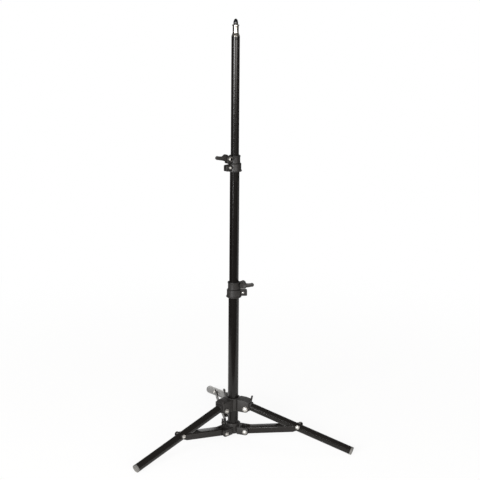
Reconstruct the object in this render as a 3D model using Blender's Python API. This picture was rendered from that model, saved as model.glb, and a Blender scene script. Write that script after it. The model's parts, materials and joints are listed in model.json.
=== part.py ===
"""Folding light stand: three braced legs on a sliding hub, three telescoping tubes,
two lever clamps, and a spigot with a thread cap. Metres, +Z up, feet on z = 0.

Each moving piece hangs from an empty on its joint's axis, so turning the empties folds the
stand. A leg frame has x pointing away from the column, y across the leg and z up.
"""

import bmesh
import bpy
from math import atan2, cos, hypot, pi, radians, sin, sqrt, tan
from mathutils import Matrix

# Clearances
SEAT_GAP = 0.0003
SLIDE_GAP = 0.0003
HUB_GAP = 0.0005
LEG_SIDE_GAP = 0.0005

# Column tubes
TUBE_WALL = 0.0012
BASE_TUBE_DIAMETER = 0.025
MIDDLE_TUBE_DIAMETER = 0.022
TOP_TUBE_DIAMETER = 0.019
MIDDLE_TUBE_BOTTOM = 0.300
TOP_TUBE_BOTTOM = 0.590
TOP_TUBE_TOP = 0.9686

# Spigot, thread stud and thread cap
SPIGOT_DIAMETER = 0.0158
SPIGOT_NECK_DIAMETER = 0.0136
SPIGOT_HEIGHT = 0.0252
SPIGOT_RIM = 0.0032
SPIGOT_CONE = 0.0071
SPIGOT_PLUG_LENGTH = 0.022
SPIGOT_EDGE = 0.0005
SPIGOT_RELIEF = 0.0003
STUD_DIAMETER = 0.0062
STUD_LENGTH = 0.0095
CAP_DIAMETER = 0.0106
CAP_LENGTH = 0.0130
CAP_EDGE = 0.0004
CAP_STRAIGHT_SHARE = 0.22
CAP_POINT_SWEEP = radians(82.8)
RIVET_DIAMETER = 0.0032
RIVET_HEAD_DIAMETER = 0.0050
RIVET_HEAD_HEIGHT = 0.0010
RIVET_BELOW_TOP = 0.0056
RIVET_LENGTH = 0.0060
RIVET_TURN = radians(-87.0)

# Guide plugs at the lower ends of the sliding tubes
GUIDE_LIP = 0.0030
GUIDE_PLUG_LENGTH = 0.0080
GUIDE_BORE = 0.0120

# Clamps, heights counted from each clamp's lower edge
LOWER_CLAMP_BOTTOM = 0.359
UPPER_CLAMP_BOTTOM = 0.661
LOWER_CLAMP_TURN = radians(-9.0)
UPPER_CLAMP_TURN = radians(211.5)
CLAMP_HEIGHT = 0.036
SLEEVE_DEPTH = 0.018
SLEEVE_WALL = 0.0040
RING_WALL = 0.0030
CLAMP_RIM = 0.0015
CLAMP_RIM_HEIGHT = 0.0022
CLAMP_EDGE = 0.0006
LINER_WALL = 0.0009
LINER_LIP = 0.0008
CLAMP_SLIT = 0.0024
CLAMP_CROSS_SLIT = 0.0012
EAR_HALF_THICKNESS = 0.0055
EAR_RADIUS = 0.0070
EAR_CORNER = 0.0030
CLAMP_BOLT_OFFSET = 0.0074
CLAMP_BOLT_HEIGHT = 0.0315
CLAMP_BOLT_DIAMETER = 0.0060
LUG_LENGTH = 0.0145
LUG_LOW = 0.0028
LUG_HIGH = 0.0170
LUG_CORNER = 0.0022
FIXING_SCREW_OFFSET = 0.0050
FIXING_SCREW_HEIGHT = 0.0108
FIXING_SCREW_DIAMETER = 0.0040
FIXING_HEAD_DIAMETER = 0.0056
FIXING_HEAD_HEIGHT = 0.0020

# Lever knobs
KNOB_DIAMETER = 0.0160
KNOB_NECK_DIAMETER = 0.0120
KNOB_THICKNESS = 0.0088
KNOB_TEETH = 18
KNOB_TOOTH_HEIGHT = 0.0009
KNOB_BORE_DEPTH = 0.0055
LEVER_LENGTH = 0.0247
LEVER_NECK_WIDTH = 0.0066
LEVER_TIP_DIAMETER = 0.0088
LEVER_ROOT_HALF_WIDTH = 0.00528
LEVER_WAIST_REACH = 0.00992
LEVER_INSET = 0.0007
LEVER_FLARE_START = 0.0048
LEVER_THICKNESS = 0.0048
LEVER_FLARE = 0.24
LEVER_RISE = radians(4.5)

# Legs and pivots
LEG_COUNT = 3
FIRST_LEG_TURN = radians(90.0)
LEG_DIAMETER = 0.019
LEG_SLOPE = radians(17.4)
PIVOT_RADIUS = 0.035
COLLAR_PIVOT_HEIGHT = 0.0256
LEG_ABOVE_HUB_PIVOT = 0.0063
LEG_BOLT_DISTANCE = 0.1326
LEG_BOLT_ABOVE_AXIS = 0.0049
LEG_HEAD_LENGTH = 0.010
LEG_HEAD_PLUG = 0.016
LEG_EYE_RADIUS = 0.0075
FOOT_PLUG_LENGTH = 0.017
FOOT_LIP_LENGTH = 0.0050
FOOT_LIP_OVERHANG = 0.0002
FOOT_FLAT_DEPTH = 0.0012
FOOT_CHAMFER = 0.0006

# Braces, folded from sheet
BRACE_SHEET = 0.0015
BRACE_HEIGHT = 0.0155
BRACE_RISE_AT_COLLAR = 0.0025
BRACE_DROP_AT_LEG = 0.0032
BRACE_WEB_START = 0.011
BRACE_WEB_SHORT_OF_LEG_BOLT = 0.057
BRACE_COLLAR_END_RADIUS = 0.0068
BRACE_LEG_END_RADIUS = 0.0070

# Hub
MOULDING_EDGE = 0.0008
HUB_WALL = 0.0042
HUB_LUG_THICKNESS = 0.0045
HUB_LUG_RADIUS = 0.0085
HUB_LUG_PAST_PIVOT = 0.0085
HUB_ABOVE_PIVOT = 0.0230
HUB_ROOF = 0.0024
HUB_ROOF_GAP = 0.0010
HUB_TAB_HEIGHT = 0.0090
HUB_TAB_WIDTH = 0.0042

# Lower collar
COLLAR_BELOW_PIVOT = 0.0086
COLLAR_ABOVE_PIVOT = 0.0164
BASE_TUBE_INSET = 0.0005
COLLAR_WALL = 0.0035
COLLAR_LUG_THICKNESS = 0.0040
COLLAR_LUG_RADIUS = 0.0085
COLLAR_LUG_TOP = 0.0088
COLLAR_TAB_HEIGHT = 0.0095
COLLAR_TAB_WIDTH = 0.0030
COLLAR_TAB_OFFSET = 0.0055
SET_SCREW_DIAMETER = 0.0040
SET_SCREW_HEAD_DIAMETER = 0.0070
SET_SCREW_HEAD_HEIGHT = 0.0025
SET_SCREW_TURN = radians(30.0)

# Pivot bolts and nuts
HUB_BOLT_DIAMETER = 0.0060
HUB_BOLT_HEAD_DIAMETER = 0.0130
HUB_BOLT_HEAD_HEIGHT = 0.0042
LEG_BOLT_DIAMETER = 0.0050
LEG_BOLT_HEAD_DIAMETER = 0.0100
LEG_BOLT_HEAD_HEIGHT = 0.0036
COLLAR_BOLT_DIAMETER = 0.0050
COLLAR_BOLT_HEAD_DIAMETER = 0.0112
COLLAR_BOLT_HEAD_HEIGHT = 0.0036
NUT_WIDTH_RATIO = 1.6
NUT_HEIGHT_RATIO = 0.8
BOLT_END = 0.0015

# Shading, and facets round each kind of piece
SMOOTH_ANGLE = radians(35)
COLUMN_SIDES = 24
LEG_SIDES = 20
BOLT_SIDES = 12

# Sizes that follow from the ones above
BASE_RADIUS = BASE_TUBE_DIAMETER / 2
LEG_RADIUS = LEG_DIAMETER / 2
LEG_LIP_RADIUS = LEG_RADIUS + FOOT_LIP_OVERHANG
LEG_HALF_SPACE = LEG_RADIUS + LEG_SIDE_GAP
BRACE_HALF_WIDTH = LEG_HALF_SPACE + BRACE_SHEET
COLLAR_SLOT_HALF = BRACE_HALF_WIDTH + SEAT_GAP
HUB_HALF_WIDTH = LEG_HALF_SPACE + HUB_LUG_THICKNESS
COLLAR_HALF_WIDTH = COLLAR_SLOT_HALF + COLLAR_LUG_THICKNESS
LEG_BOLT_RISE = LEG_ABOVE_HUB_PIVOT + LEG_BOLT_ABOVE_AXIS
BRACE_LENGTH = hypot(LEG_BOLT_DISTANCE, LEG_BOLT_RISE)
LEG_BOLT_DROP = LEG_BOLT_DISTANCE * sin(LEG_SLOPE) - LEG_BOLT_RISE * cos(LEG_SLOPE)
BRACE_SLOPE = atan2(LEG_BOLT_DROP, sqrt(BRACE_LENGTH ** 2 - LEG_BOLT_DROP ** 2))
HUB_PIVOT_HEIGHT = COLLAR_PIVOT_HEIGHT + 2 * LEG_BOLT_DROP
HUB_TOP = HUB_PIVOT_HEIGHT + HUB_ABOVE_PIVOT
HUB_LUG_REACH = PIVOT_RADIUS + HUB_LUG_PAST_PIVOT
COLLAR_BOTTOM = COLLAR_PIVOT_HEIGHT - COLLAR_BELOW_PIVOT
COLLAR_TOP = COLLAR_PIVOT_HEIGHT + COLLAR_ABOVE_PIVOT
BASE_TUBE_BOTTOM = COLLAR_BOTTOM + BASE_TUBE_INSET
BRACE_WEB_END = BRACE_LENGTH - BRACE_WEB_SHORT_OF_LEG_BOLT
FOOT_CENTRE_HEIGHT = LEG_LIP_RADIUS * cos(LEG_SLOPE) - FOOT_FLAT_DEPTH
LEG_AXIS_START_HEIGHT = HUB_PIVOT_HEIGHT + LEG_ABOVE_HUB_PIVOT * cos(LEG_SLOPE)
LEG_REACH = (LEG_AXIS_START_HEIGHT - FOOT_CENTRE_HEIGHT) / sin(LEG_SLOPE)
FOOT_RADIUS = PIVOT_RADIUS + LEG_REACH * cos(LEG_SLOPE) + LEG_ABOVE_HUB_PIVOT * sin(LEG_SLOPE)


def feet_centre():
    """Distance from the column to the middle of the square box round the three feet."""
    back = FOOT_RADIUS + LEG_LIP_RADIUS * sin(LEG_SLOPE)
    corner = LEG_LIP_RADIUS * sqrt(sin(LEG_SLOPE) ** 2 / 4 + 3 / 4)
    front = FOOT_RADIUS / 2 + corner
    return (back - front) / 2


def clear_scene():
    for thing in list(bpy.data.objects):
        bpy.data.objects.remove(thing, do_unlink=True)


def linear(channel):
    """One sRGB channel from 0 to 255 as a linear value."""
    value = channel / 255
    return value / 12.92 if value <= 0.04045 else ((value + 0.055) / 1.055) ** 2.4


def material(name, red, green, blue, metallic, roughness):
    made = bpy.data.materials.new(name)
    made.use_nodes = True
    shader = made.node_tree.nodes["Principled BSDF"]
    shader.inputs["Base Color"].default_value = (linear(red), linear(green), linear(blue), 1)
    shader.inputs["Metallic"].default_value = metallic
    shader.inputs["Roughness"].default_value = roughness
    return made


def finished_mesh(name, vertices, faces):
    """Mesh with its faces pointing out, smooth where it is round."""
    mesh = bpy.data.meshes.new(name)
    mesh.from_pydata(vertices, [], faces)
    shape = bmesh.new()
    shape.from_mesh(mesh)
    bmesh.ops.recalc_face_normals(shape, faces=shape.faces)
    shape.to_mesh(mesh)
    shape.free()
    mesh.shade_smooth()
    mesh.set_sharp_from_angle(angle=SMOOTH_ANGLE)
    return mesh


def turned(name, profile, sides, axis="Z"):
    """Solid turned about an axis. Points are (radius, along); a profile that starts and ends
    on the axis is solid, and any other closes on itself as a ring."""
    solid = profile[0][0] == 0 and profile[-1][0] == 0
    ring = profile[1:-1] if solid else profile
    vertices = []
    for radius, along in ring:
        for step in range(sides):
            angle = 2 * pi * (step + 0.5) / sides
            vertices.append((radius * cos(angle), radius * sin(angle), along))
    faces = []
    last = len(ring) - 1 if solid else len(ring)
    for row in range(last):
        here, there = row * sides, (row + 1) % len(ring) * sides
        for step in range(sides):
            turn = (step + 1) % sides
            faces.append((here + step, here + turn, there + turn, there + step))
    if solid:
        faces.append(tuple(range(sides)))
        faces.append(tuple(range((len(ring) - 1) * sides, len(ring) * sides)))
    mesh = finished_mesh(name, vertices, faces)
    if axis == "X":
        mesh.transform(Matrix.Rotation(radians(90), 4, "Y"))
    if axis == "Y":
        mesh.transform(Matrix.Rotation(radians(-90), 4, "X"))
    return mesh


def plate(name, outline, low, high):
    """Outline in x and z, given thickness along y from low to high."""
    count = len(outline)
    vertices = [(x, low, z) for x, z in outline] + [(x, high, z) for x, z in outline]
    faces = [tuple(range(count)), tuple(range(count, 2 * count))]
    for step in range(count):
        turn = (step + 1) % count
        faces.append((step, turn, count + turn, count + step))
    return finished_mesh(name, vertices, faces)


def arc(centre_x, centre_z, radius, start, end, steps):
    """Points on an arc in x and z; the angles are in degrees from +x towards +z."""
    points = []
    for step in range(steps + 1):
        angle = radians(start + (end - start) * step / steps)
        points.append((centre_x + radius * cos(angle), centre_z + radius * sin(angle)))
    return points


def box(low_x, low_z, high_x, high_z):
    return [(low_x, low_z), (high_x, low_z), (high_x, high_z), (low_x, high_z)]


WORLD = {}


def pivot(name, parent, matrix):
    """Empty at a place given in the stand's own coordinates."""
    made = bpy.data.objects.new(name, None)
    bpy.context.scene.collection.objects.link(made)
    made.empty_display_size = 0.01
    put(made, parent, matrix)
    return made


def put(thing, parent, matrix):
    thing.parent = parent
    thing.matrix_local = WORLD[parent.name].inverted() @ matrix if parent else matrix
    WORLD[thing.name] = matrix


def piece(name, mesh, finish, joint, matrix):
    made = bpy.data.objects.new(name, mesh)
    mesh.materials.append(finish)
    bpy.context.scene.collection.objects.link(made)
    put(made, joint, matrix)
    return made


def shape_with(target, mesh, matrix, operation="DIFFERENCE"):
    """Cut a mesh out of a piece, or join it on."""
    tool = bpy.data.objects.new(target.name + "_" + mesh.name, mesh)
    bpy.context.scene.collection.objects.link(tool)
    put(tool, target.parent, matrix)
    tool.hide_render = True
    tool.display_type = "WIRE"
    change = target.modifiers.new(mesh.name, "BOOLEAN")
    change.operation = operation
    change.solver = "EXACT"
    change.object = tool


def drill(target, diameter, x, z, half_length, matrix):
    """Hole along y through a piece."""
    radius = diameter / 2
    profile = [(0, -half_length), (radius, -half_length), (radius, half_length), (0, half_length)]
    mesh = turned("hole", profile, BOLT_SIDES, "Y")
    shape_with(target, mesh, matrix @ Matrix.Translation((x, 0, z)))


def turn_z(angle):
    return Matrix.Rotation(angle, 4, "Z")


def move(x, y, z):
    return Matrix.Translation((x, y, z))


def tube(name, diameter, wall, low, high, finish, joint, matrix, sides=COLUMN_SIDES, axis="Z"):
    outer = diameter / 2
    inner = outer - wall
    edge = wall / 4
    profile = [(inner, low), (outer - edge, low), (outer, low + edge), (outer, high - edge),
               (outer - edge, high), (inner, high)]
    return piece(name, turned(name, profile, sides, axis), finish, joint, matrix)


def column(stand, joints, paint, plastic):
    """The three tubes and the guide plugs in the ends of the two that slide."""
    base_top = LOWER_CLAMP_BOTTOM + SLEEVE_DEPTH - SEAT_GAP
    middle_top = UPPER_CLAMP_BOTTOM + SLEEVE_DEPTH - SEAT_GAP
    tube("base_tube", BASE_TUBE_DIAMETER, TUBE_WALL, BASE_TUBE_BOTTOM, base_top, paint,
         joints["stand"], stand)
    tube("middle_tube", MIDDLE_TUBE_DIAMETER, TUBE_WALL, MIDDLE_TUBE_BOTTOM, middle_top, paint,
         joints["middle_turn"], stand)
    top = tube("top_tube", TOP_TUBE_DIAMETER, TUBE_WALL, TOP_TUBE_BOTTOM, TOP_TUBE_TOP, paint,
               joints["top_turn"], stand)
    guide_plug("middle_guide", MIDDLE_TUBE_DIAMETER, MIDDLE_TUBE_BOTTOM, plastic,
               joints["middle_slide"], stand)
    guide_plug("top_guide", TOP_TUBE_DIAMETER, TOP_TUBE_BOTTOM, plastic,
               joints["top_slide"], stand)
    return top


def guide_plug(name, diameter, tube_bottom, finish, joint, matrix):
    """Plastic plug whose lip guides the end of a sliding tube inside the next one."""
    bore = GUIDE_BORE / 2
    plug = diameter / 2 - TUBE_WALL - SLIDE_GAP
    lip = diameter / 2
    low = tube_bottom - SEAT_GAP - GUIDE_LIP
    shoulder = tube_bottom - SEAT_GAP
    high = shoulder + GUIDE_PLUG_LENGTH
    edge = GUIDE_LIP / 5
    profile = [(bore, low), (lip - edge, low), (lip, low + edge), (lip, shoulder),
               (plug, shoulder), (plug, high), (bore, high)]
    piece(name, turned(name, profile, COLUMN_SIDES), finish, joint, matrix)


def spigot(stand, joint, top_tube, chrome, black):
    """Turned steel spigot with its thread stud, and the rivet that holds it in the top tube. Its
    top is sunk round the stud, so a lamp seats on the outer ring."""
    rim = SPIGOT_DIAMETER / 2
    neck = SPIGOT_NECK_DIAMETER / 2
    tube_radius = TOP_TUBE_DIAMETER / 2
    plug = tube_radius - TUBE_WALL - SEAT_GAP
    stud = STUD_DIAMETER / 2
    seat = TOP_TUBE_TOP + SEAT_GAP
    top = TOP_TUBE_TOP + SPIGOT_HEIGHT
    edge = SPIGOT_EDGE
    tip = top + STUD_LENGTH
    relief = CAP_DIAMETER / 2 + SEAT_GAP
    sunk = top - SPIGOT_RELIEF
    profile = [(0, seat - SPIGOT_PLUG_LENGTH), (plug - edge, seat - SPIGOT_PLUG_LENGTH),
               (plug, seat - SPIGOT_PLUG_LENGTH + edge), (plug, seat), (tube_radius - edge, seat),
               (tube_radius - edge, seat + edge), (neck, seat + SPIGOT_CONE),
               (neck, top - SPIGOT_RIM), (rim, top - SPIGOT_RIM + edge), (rim, top - edge),
               (rim - edge, top), (relief, top), (relief, sunk), (stud, sunk), (stud, tip - edge),
               (stud - edge, tip), (0, tip)]
    body = piece("spigot", turned("spigot", profile, COLUMN_SIDES), chrome, joint, stand)
    frame = stand @ turn_z(RIVET_TURN) @ move(0, 0, TOP_TUBE_TOP - RIVET_BELOW_TOP)
    shank = RIVET_DIAMETER / 2
    head = RIVET_HEAD_DIAMETER / 2
    face = tube_radius + SEAT_GAP
    inside = tube_radius - RIVET_LENGTH
    rivet = [(0, inside), (shank, inside), (shank, face), (head, face),
             (head * 0.75, face + RIVET_HEAD_HEIGHT * 0.7), (0, face + RIVET_HEAD_HEIGHT)]
    piece("spigot_rivet", turned("spigot_rivet", rivet, BOLT_SIDES, "X"), black, joint, frame)
    bore = shank + SEAT_GAP
    hole = [(0, inside - SEAT_GAP), (bore, inside - SEAT_GAP), (bore, face * 2), (0, face * 2)]
    shape_with(body, turned("rivet_hole", hole, BOLT_SIDES, "X"), frame)
    shape_with(top_tube, turned("rivet_hole", hole, BOLT_SIDES, "X"), frame)


def thread_cap(stand, joint, rubber):
    """Black pointed cap pushed over the thread stud."""
    low = TOP_TUBE_TOP + SPIGOT_HEIGHT + SEAT_GAP
    radius = CAP_DIAMETER / 2
    bore = STUD_DIAMETER / 2 + SEAT_GAP
    ceiling = low + STUD_LENGTH + SEAT_GAP
    profile = [(bore, low), (radius - CAP_EDGE, low), (radius, low + CAP_EDGE)]
    steps = 6
    for step in range(1, steps + 1):
        angle = CAP_POINT_SWEEP * step / steps
        rise = CAP_STRAIGHT_SHARE + (1 - CAP_STRAIGHT_SHARE) * sin(angle)
        profile.append((radius * cos(angle), low + CAP_LENGTH * rise))
    tip = profile[-1][1]
    outside = [(0, tip)] + profile[::-1][:-1]
    outer = outside + [(0, low)]
    body = piece("thread_cap", turned("thread_cap", outer, LEG_SIDES), rubber, joint, stand)
    hole = [(0, low - CAP_LENGTH), (bore, low - CAP_LENGTH), (bore, ceiling), (0, ceiling)]
    shape_with(body, turned("stud_hole", hole, BOLT_SIDES), stand)


class ClampSizes:
    """Sizes and places of one clamp that follow from the two tubes it joins."""

    def __init__(self, stand, bottom, turn, lower_diameter, upper_diameter):
        self.frame = stand @ turn_z(turn) @ move(0, 0, bottom)
        self.sleeve_bore = lower_diameter / 2 + SLIDE_GAP
        self.sleeve = lower_diameter / 2 + SLEEVE_WALL
        self.liner_bore = upper_diameter / 2 + SLIDE_GAP
        self.ring_bore = self.liner_bore + LINER_WALL + SEAT_GAP
        self.ring = upper_diameter / 2 + RING_WALL
        self.bolt_reach = self.ring + CLAMP_BOLT_OFFSET
        self.screw_reach = self.sleeve + FIXING_SCREW_OFFSET
        self.lug_reach = self.sleeve + LUG_LENGTH
        self.bolt_frame = self.frame @ move(self.bolt_reach, 0, CLAMP_BOLT_HEIGHT)
        self.screw_frame = self.frame @ move(self.screw_reach, 0, FIXING_SCREW_HEIGHT)
        reach_in = self.bolt_reach - KNOB_DIAMETER / 2
        clear = sqrt(max(0.0, (self.ring + SLIDE_GAP) ** 2 - reach_in ** 2))
        self.knob_rest = max(EAR_HALF_THICKNESS, clear) + SEAT_GAP


def clamp(prefix, sizes, joint, knob_joint, finish):
    """One tube clamp: a moulded collar split along one side, its liner and its fasteners."""
    clamp_collar(prefix, sizes, joint, finish["plastic"])
    clamp_liner(prefix, sizes, joint, finish["nylon"])
    clamp_bolt(prefix, sizes, knob_joint, finish["steel"])
    knob(prefix, sizes, knob_joint, finish["plastic"])
    nut(prefix + "_clamp_nut", sizes.bolt_frame, CLAMP_BOLT_DIAMETER, EAR_HALF_THICKNESS, joint,
        finish["steel"])
    bolt(prefix + "_fixing_screw", sizes.screw_frame, FIXING_SCREW_DIAMETER, FIXING_HEAD_DIAMETER,
         FIXING_HEAD_HEIGHT, EAR_HALF_THICKNESS, joint, finish["steel"])
    nut(prefix + "_fixing_nut", sizes.screw_frame, FIXING_SCREW_DIAMETER, EAR_HALF_THICKNESS,
        joint, finish["steel"])


def clamp_collar(prefix, sizes, joint, finish):
    edge = CLAMP_EDGE
    shoulder = SLEEVE_DEPTH
    rim = sizes.sleeve + CLAMP_RIM
    profile = [(sizes.sleeve_bore, 0), (rim - edge, 0), (rim, edge), (rim, CLAMP_RIM_HEIGHT),
               (sizes.sleeve, CLAMP_RIM_HEIGHT + edge), (sizes.sleeve, shoulder - edge),
               (sizes.ring, shoulder + 3 * edge), (sizes.ring, CLAMP_HEIGHT - edge),
               (sizes.ring - edge, CLAMP_HEIGHT), (sizes.ring_bore, CLAMP_HEIGHT),
               (sizes.ring_bore, shoulder), (sizes.sleeve_bore, shoulder)]
    name = prefix + "_clamp"
    frame = sizes.frame
    body = piece(name, turned(name, profile, COLUMN_SIDES), finish, joint, frame)
    cross_low = shoulder + edge
    ear_low = cross_low + CLAMP_CROSS_SLIT + edge
    ear_start = (sizes.ring_bore + sizes.ring) / 2
    ear_corner_x = sizes.bolt_reach + EAR_RADIUS - EAR_CORNER
    ear = [(ear_start, ear_low)]
    ear += arc(ear_corner_x, ear_low + EAR_CORNER, EAR_CORNER, -90, 0, 3)
    ear += arc(sizes.bolt_reach, CLAMP_BOLT_HEIGHT, EAR_RADIUS, 0, 90, 5)
    ear += [(ear_start, CLAMP_HEIGHT - edge)]
    thickness = EAR_HALF_THICKNESS
    shape_with(body, plate("ear", ear, -thickness, thickness), frame, "UNION")
    lug_start = (sizes.sleeve_bore + sizes.sleeve) / 2
    corner_x = sizes.lug_reach - LUG_CORNER
    lug = [(lug_start, LUG_LOW)] + arc(corner_x, LUG_LOW + LUG_CORNER, LUG_CORNER, -90, 0, 3)
    lug += arc(corner_x, LUG_HIGH - LUG_CORNER, LUG_CORNER, 0, 90, 3) + [(lug_start, LUG_HIGH)]
    shape_with(body, plate("lug", lug, -thickness, thickness), frame, "UNION")
    past = 1.2 * sizes.lug_reach
    half = CLAMP_SLIT / 2
    slit = box(0, -edge, past, 1.2 * CLAMP_HEIGHT)
    shape_with(body, plate("slit", slit, -half, half), frame)
    cross = box(-sizes.ring / 3, cross_low, past, cross_low + CLAMP_CROSS_SLIT)
    shape_with(body, plate("cross_slit", cross, -past, past), frame)
    drill(body, CLAMP_BOLT_DIAMETER + 2 * SEAT_GAP, sizes.bolt_reach, CLAMP_BOLT_HEIGHT,
          2 * thickness, frame)
    drill(body, FIXING_SCREW_DIAMETER + 2 * SEAT_GAP, sizes.screw_reach, FIXING_SCREW_HEIGHT,
          2 * thickness, frame)


def clamp_liner(prefix, sizes, joint, finish):
    """Split plastic sleeve between the ring and the sliding tube, with a lip on the ring."""
    inner = sizes.liner_bore
    outer = inner + LINER_WALL
    lip = outer + LINER_LIP
    low = SLEEVE_DEPTH + 2 * SEAT_GAP
    seat = CLAMP_HEIGHT + SEAT_GAP
    high = seat + LINER_LIP
    profile = [(inner, low), (outer, low), (outer, seat), (lip, seat), (lip - LINER_LIP / 3, high),
               (inner, high)]
    name = prefix + "_clamp_liner"
    body = piece(name, turned(name, profile, COLUMN_SIDES), finish, joint, sizes.frame)
    gap = CLAMP_SLIT / 2
    slit = box(0, low - LINER_LIP, 2 * lip, high + LINER_LIP)
    shape_with(body, plate("slit", slit, -gap, gap), sizes.frame)


def clamp_bolt(prefix, sizes, joint, finish):
    """Headless bolt moulded into the knob; the nut on the other ear draws the ring shut."""
    radius = CLAMP_BOLT_DIAMETER / 2
    knob_end = -sizes.knob_rest - KNOB_BORE_DEPTH
    nut_end = EAR_HALF_THICKNESS + SEAT_GAP + NUT_HEIGHT_RATIO * CLAMP_BOLT_DIAMETER + BOLT_END
    edge = radius / 5
    profile = [(0, knob_end), (radius, knob_end), (radius, nut_end - edge),
               (radius - edge, nut_end), (0, nut_end)]
    name = prefix + "_clamp_bolt"
    piece(name, turned(name, profile, BOLT_SIDES, "Y"), finish, joint, sizes.bolt_frame)


def knob(prefix, sizes, joint, finish):
    """Toothed round knob with a neck on the ear and one flared lever, turning about y."""
    frame = sizes.bolt_frame
    face = -sizes.knob_rest
    back = face - KNOB_THICKNESS
    outline = []
    for step in range(4 * KNOB_TEETH):
        angle = 2 * pi * step / (4 * KNOB_TEETH)
        raised = step % 4 < 2
        radius = KNOB_DIAMETER / 2 - (0 if raised else KNOB_TOOTH_HEIGHT)
        outline.append((radius * cos(angle), radius * sin(angle)))
    name = prefix + "_knob"
    body = piece(name, plate(name, outline, back, face), finish, joint, frame)
    neck = KNOB_NECK_DIAMETER / 2
    inside = face - KNOB_THICKNESS / 4
    seat = -EAR_HALF_THICKNESS - SEAT_GAP
    profile = [(0, inside), (neck, inside), (neck, seat), (0, seat)]
    shape_with(body, turned("neck", profile, LEG_SIDES, "Y"), frame, "UNION")
    shape_with(body, lever(back), frame @ Matrix.Rotation(-LEVER_RISE, 4, "Y"), "UNION")
    bore = CLAMP_BOLT_DIAMETER / 2 + SEAT_GAP
    floor = face - KNOB_BORE_DEPTH - SEAT_GAP
    hole = [(0, floor), (bore, floor), (bore, -face), (0, -face)]
    shape_with(body, turned("bore", hole, BOLT_SIDES, "Y"), frame)


def lever(back):
    """Lever outline, leaned away from the collar as it runs out."""
    tip = LEVER_TIP_DIAMETER / 2
    half_neck = LEVER_NECK_WIDTH / 2
    tip_x = LEVER_LENGTH - tip
    outline = [(0, -LEVER_ROOT_HALF_WIDTH), (LEVER_WAIST_REACH, -half_neck)]
    outline += arc(tip_x, 0, tip, -120, 120, 8)
    outline += [(LEVER_WAIST_REACH, half_neck), (0, LEVER_ROOT_HALF_WIDTH)]
    low = back + LEVER_INSET
    mesh = plate("lever", outline, low, low + LEVER_THICKNESS)
    for point in mesh.vertices:
        point.co.y -= LEVER_FLARE * max(0.0, point.co.x - LEVER_FLARE_START)
    return mesh


def bolt(name, frame, diameter, head_diameter, head_height, half_grip, joint, finish):
    """Domed bolt along y: its head is on the -y side, and its end stands past the nut."""
    radius = diameter / 2
    head = head_diameter / 2
    seat = half_grip + SEAT_GAP
    end = seat + NUT_HEIGHT_RATIO * diameter + BOLT_END
    edge = radius / 5
    profile = [(0, -seat - head_height)]
    steps = 3
    for step in range(1, steps + 1):
        angle = pi / 2 * step / steps
        profile.append((head * sin(angle), -seat - head_height * (0.3 + 0.7 * cos(angle))))
    profile += [(head, -seat), (radius, -seat), (radius, end - edge), (radius - edge, end),
                (0, end)]
    piece(name, turned(name, profile, BOLT_SIDES, "Y"), finish, joint, frame)


def nut(name, frame, diameter, half_grip, joint, finish):
    """Hexagon nut on the +y side."""
    corner = NUT_WIDTH_RATIO * diameter / 2 / cos(pi / 6)
    low = half_grip + SEAT_GAP
    high = low + NUT_HEIGHT_RATIO * diameter
    profile = [(0, low), (corner, low), (corner, high), (0, high)]
    body = piece(name, turned(name, profile, 6, "Y"), finish, joint, frame)
    drill(body, diameter + 2 * SEAT_GAP, 0, 0, 2 * high, frame)


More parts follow.
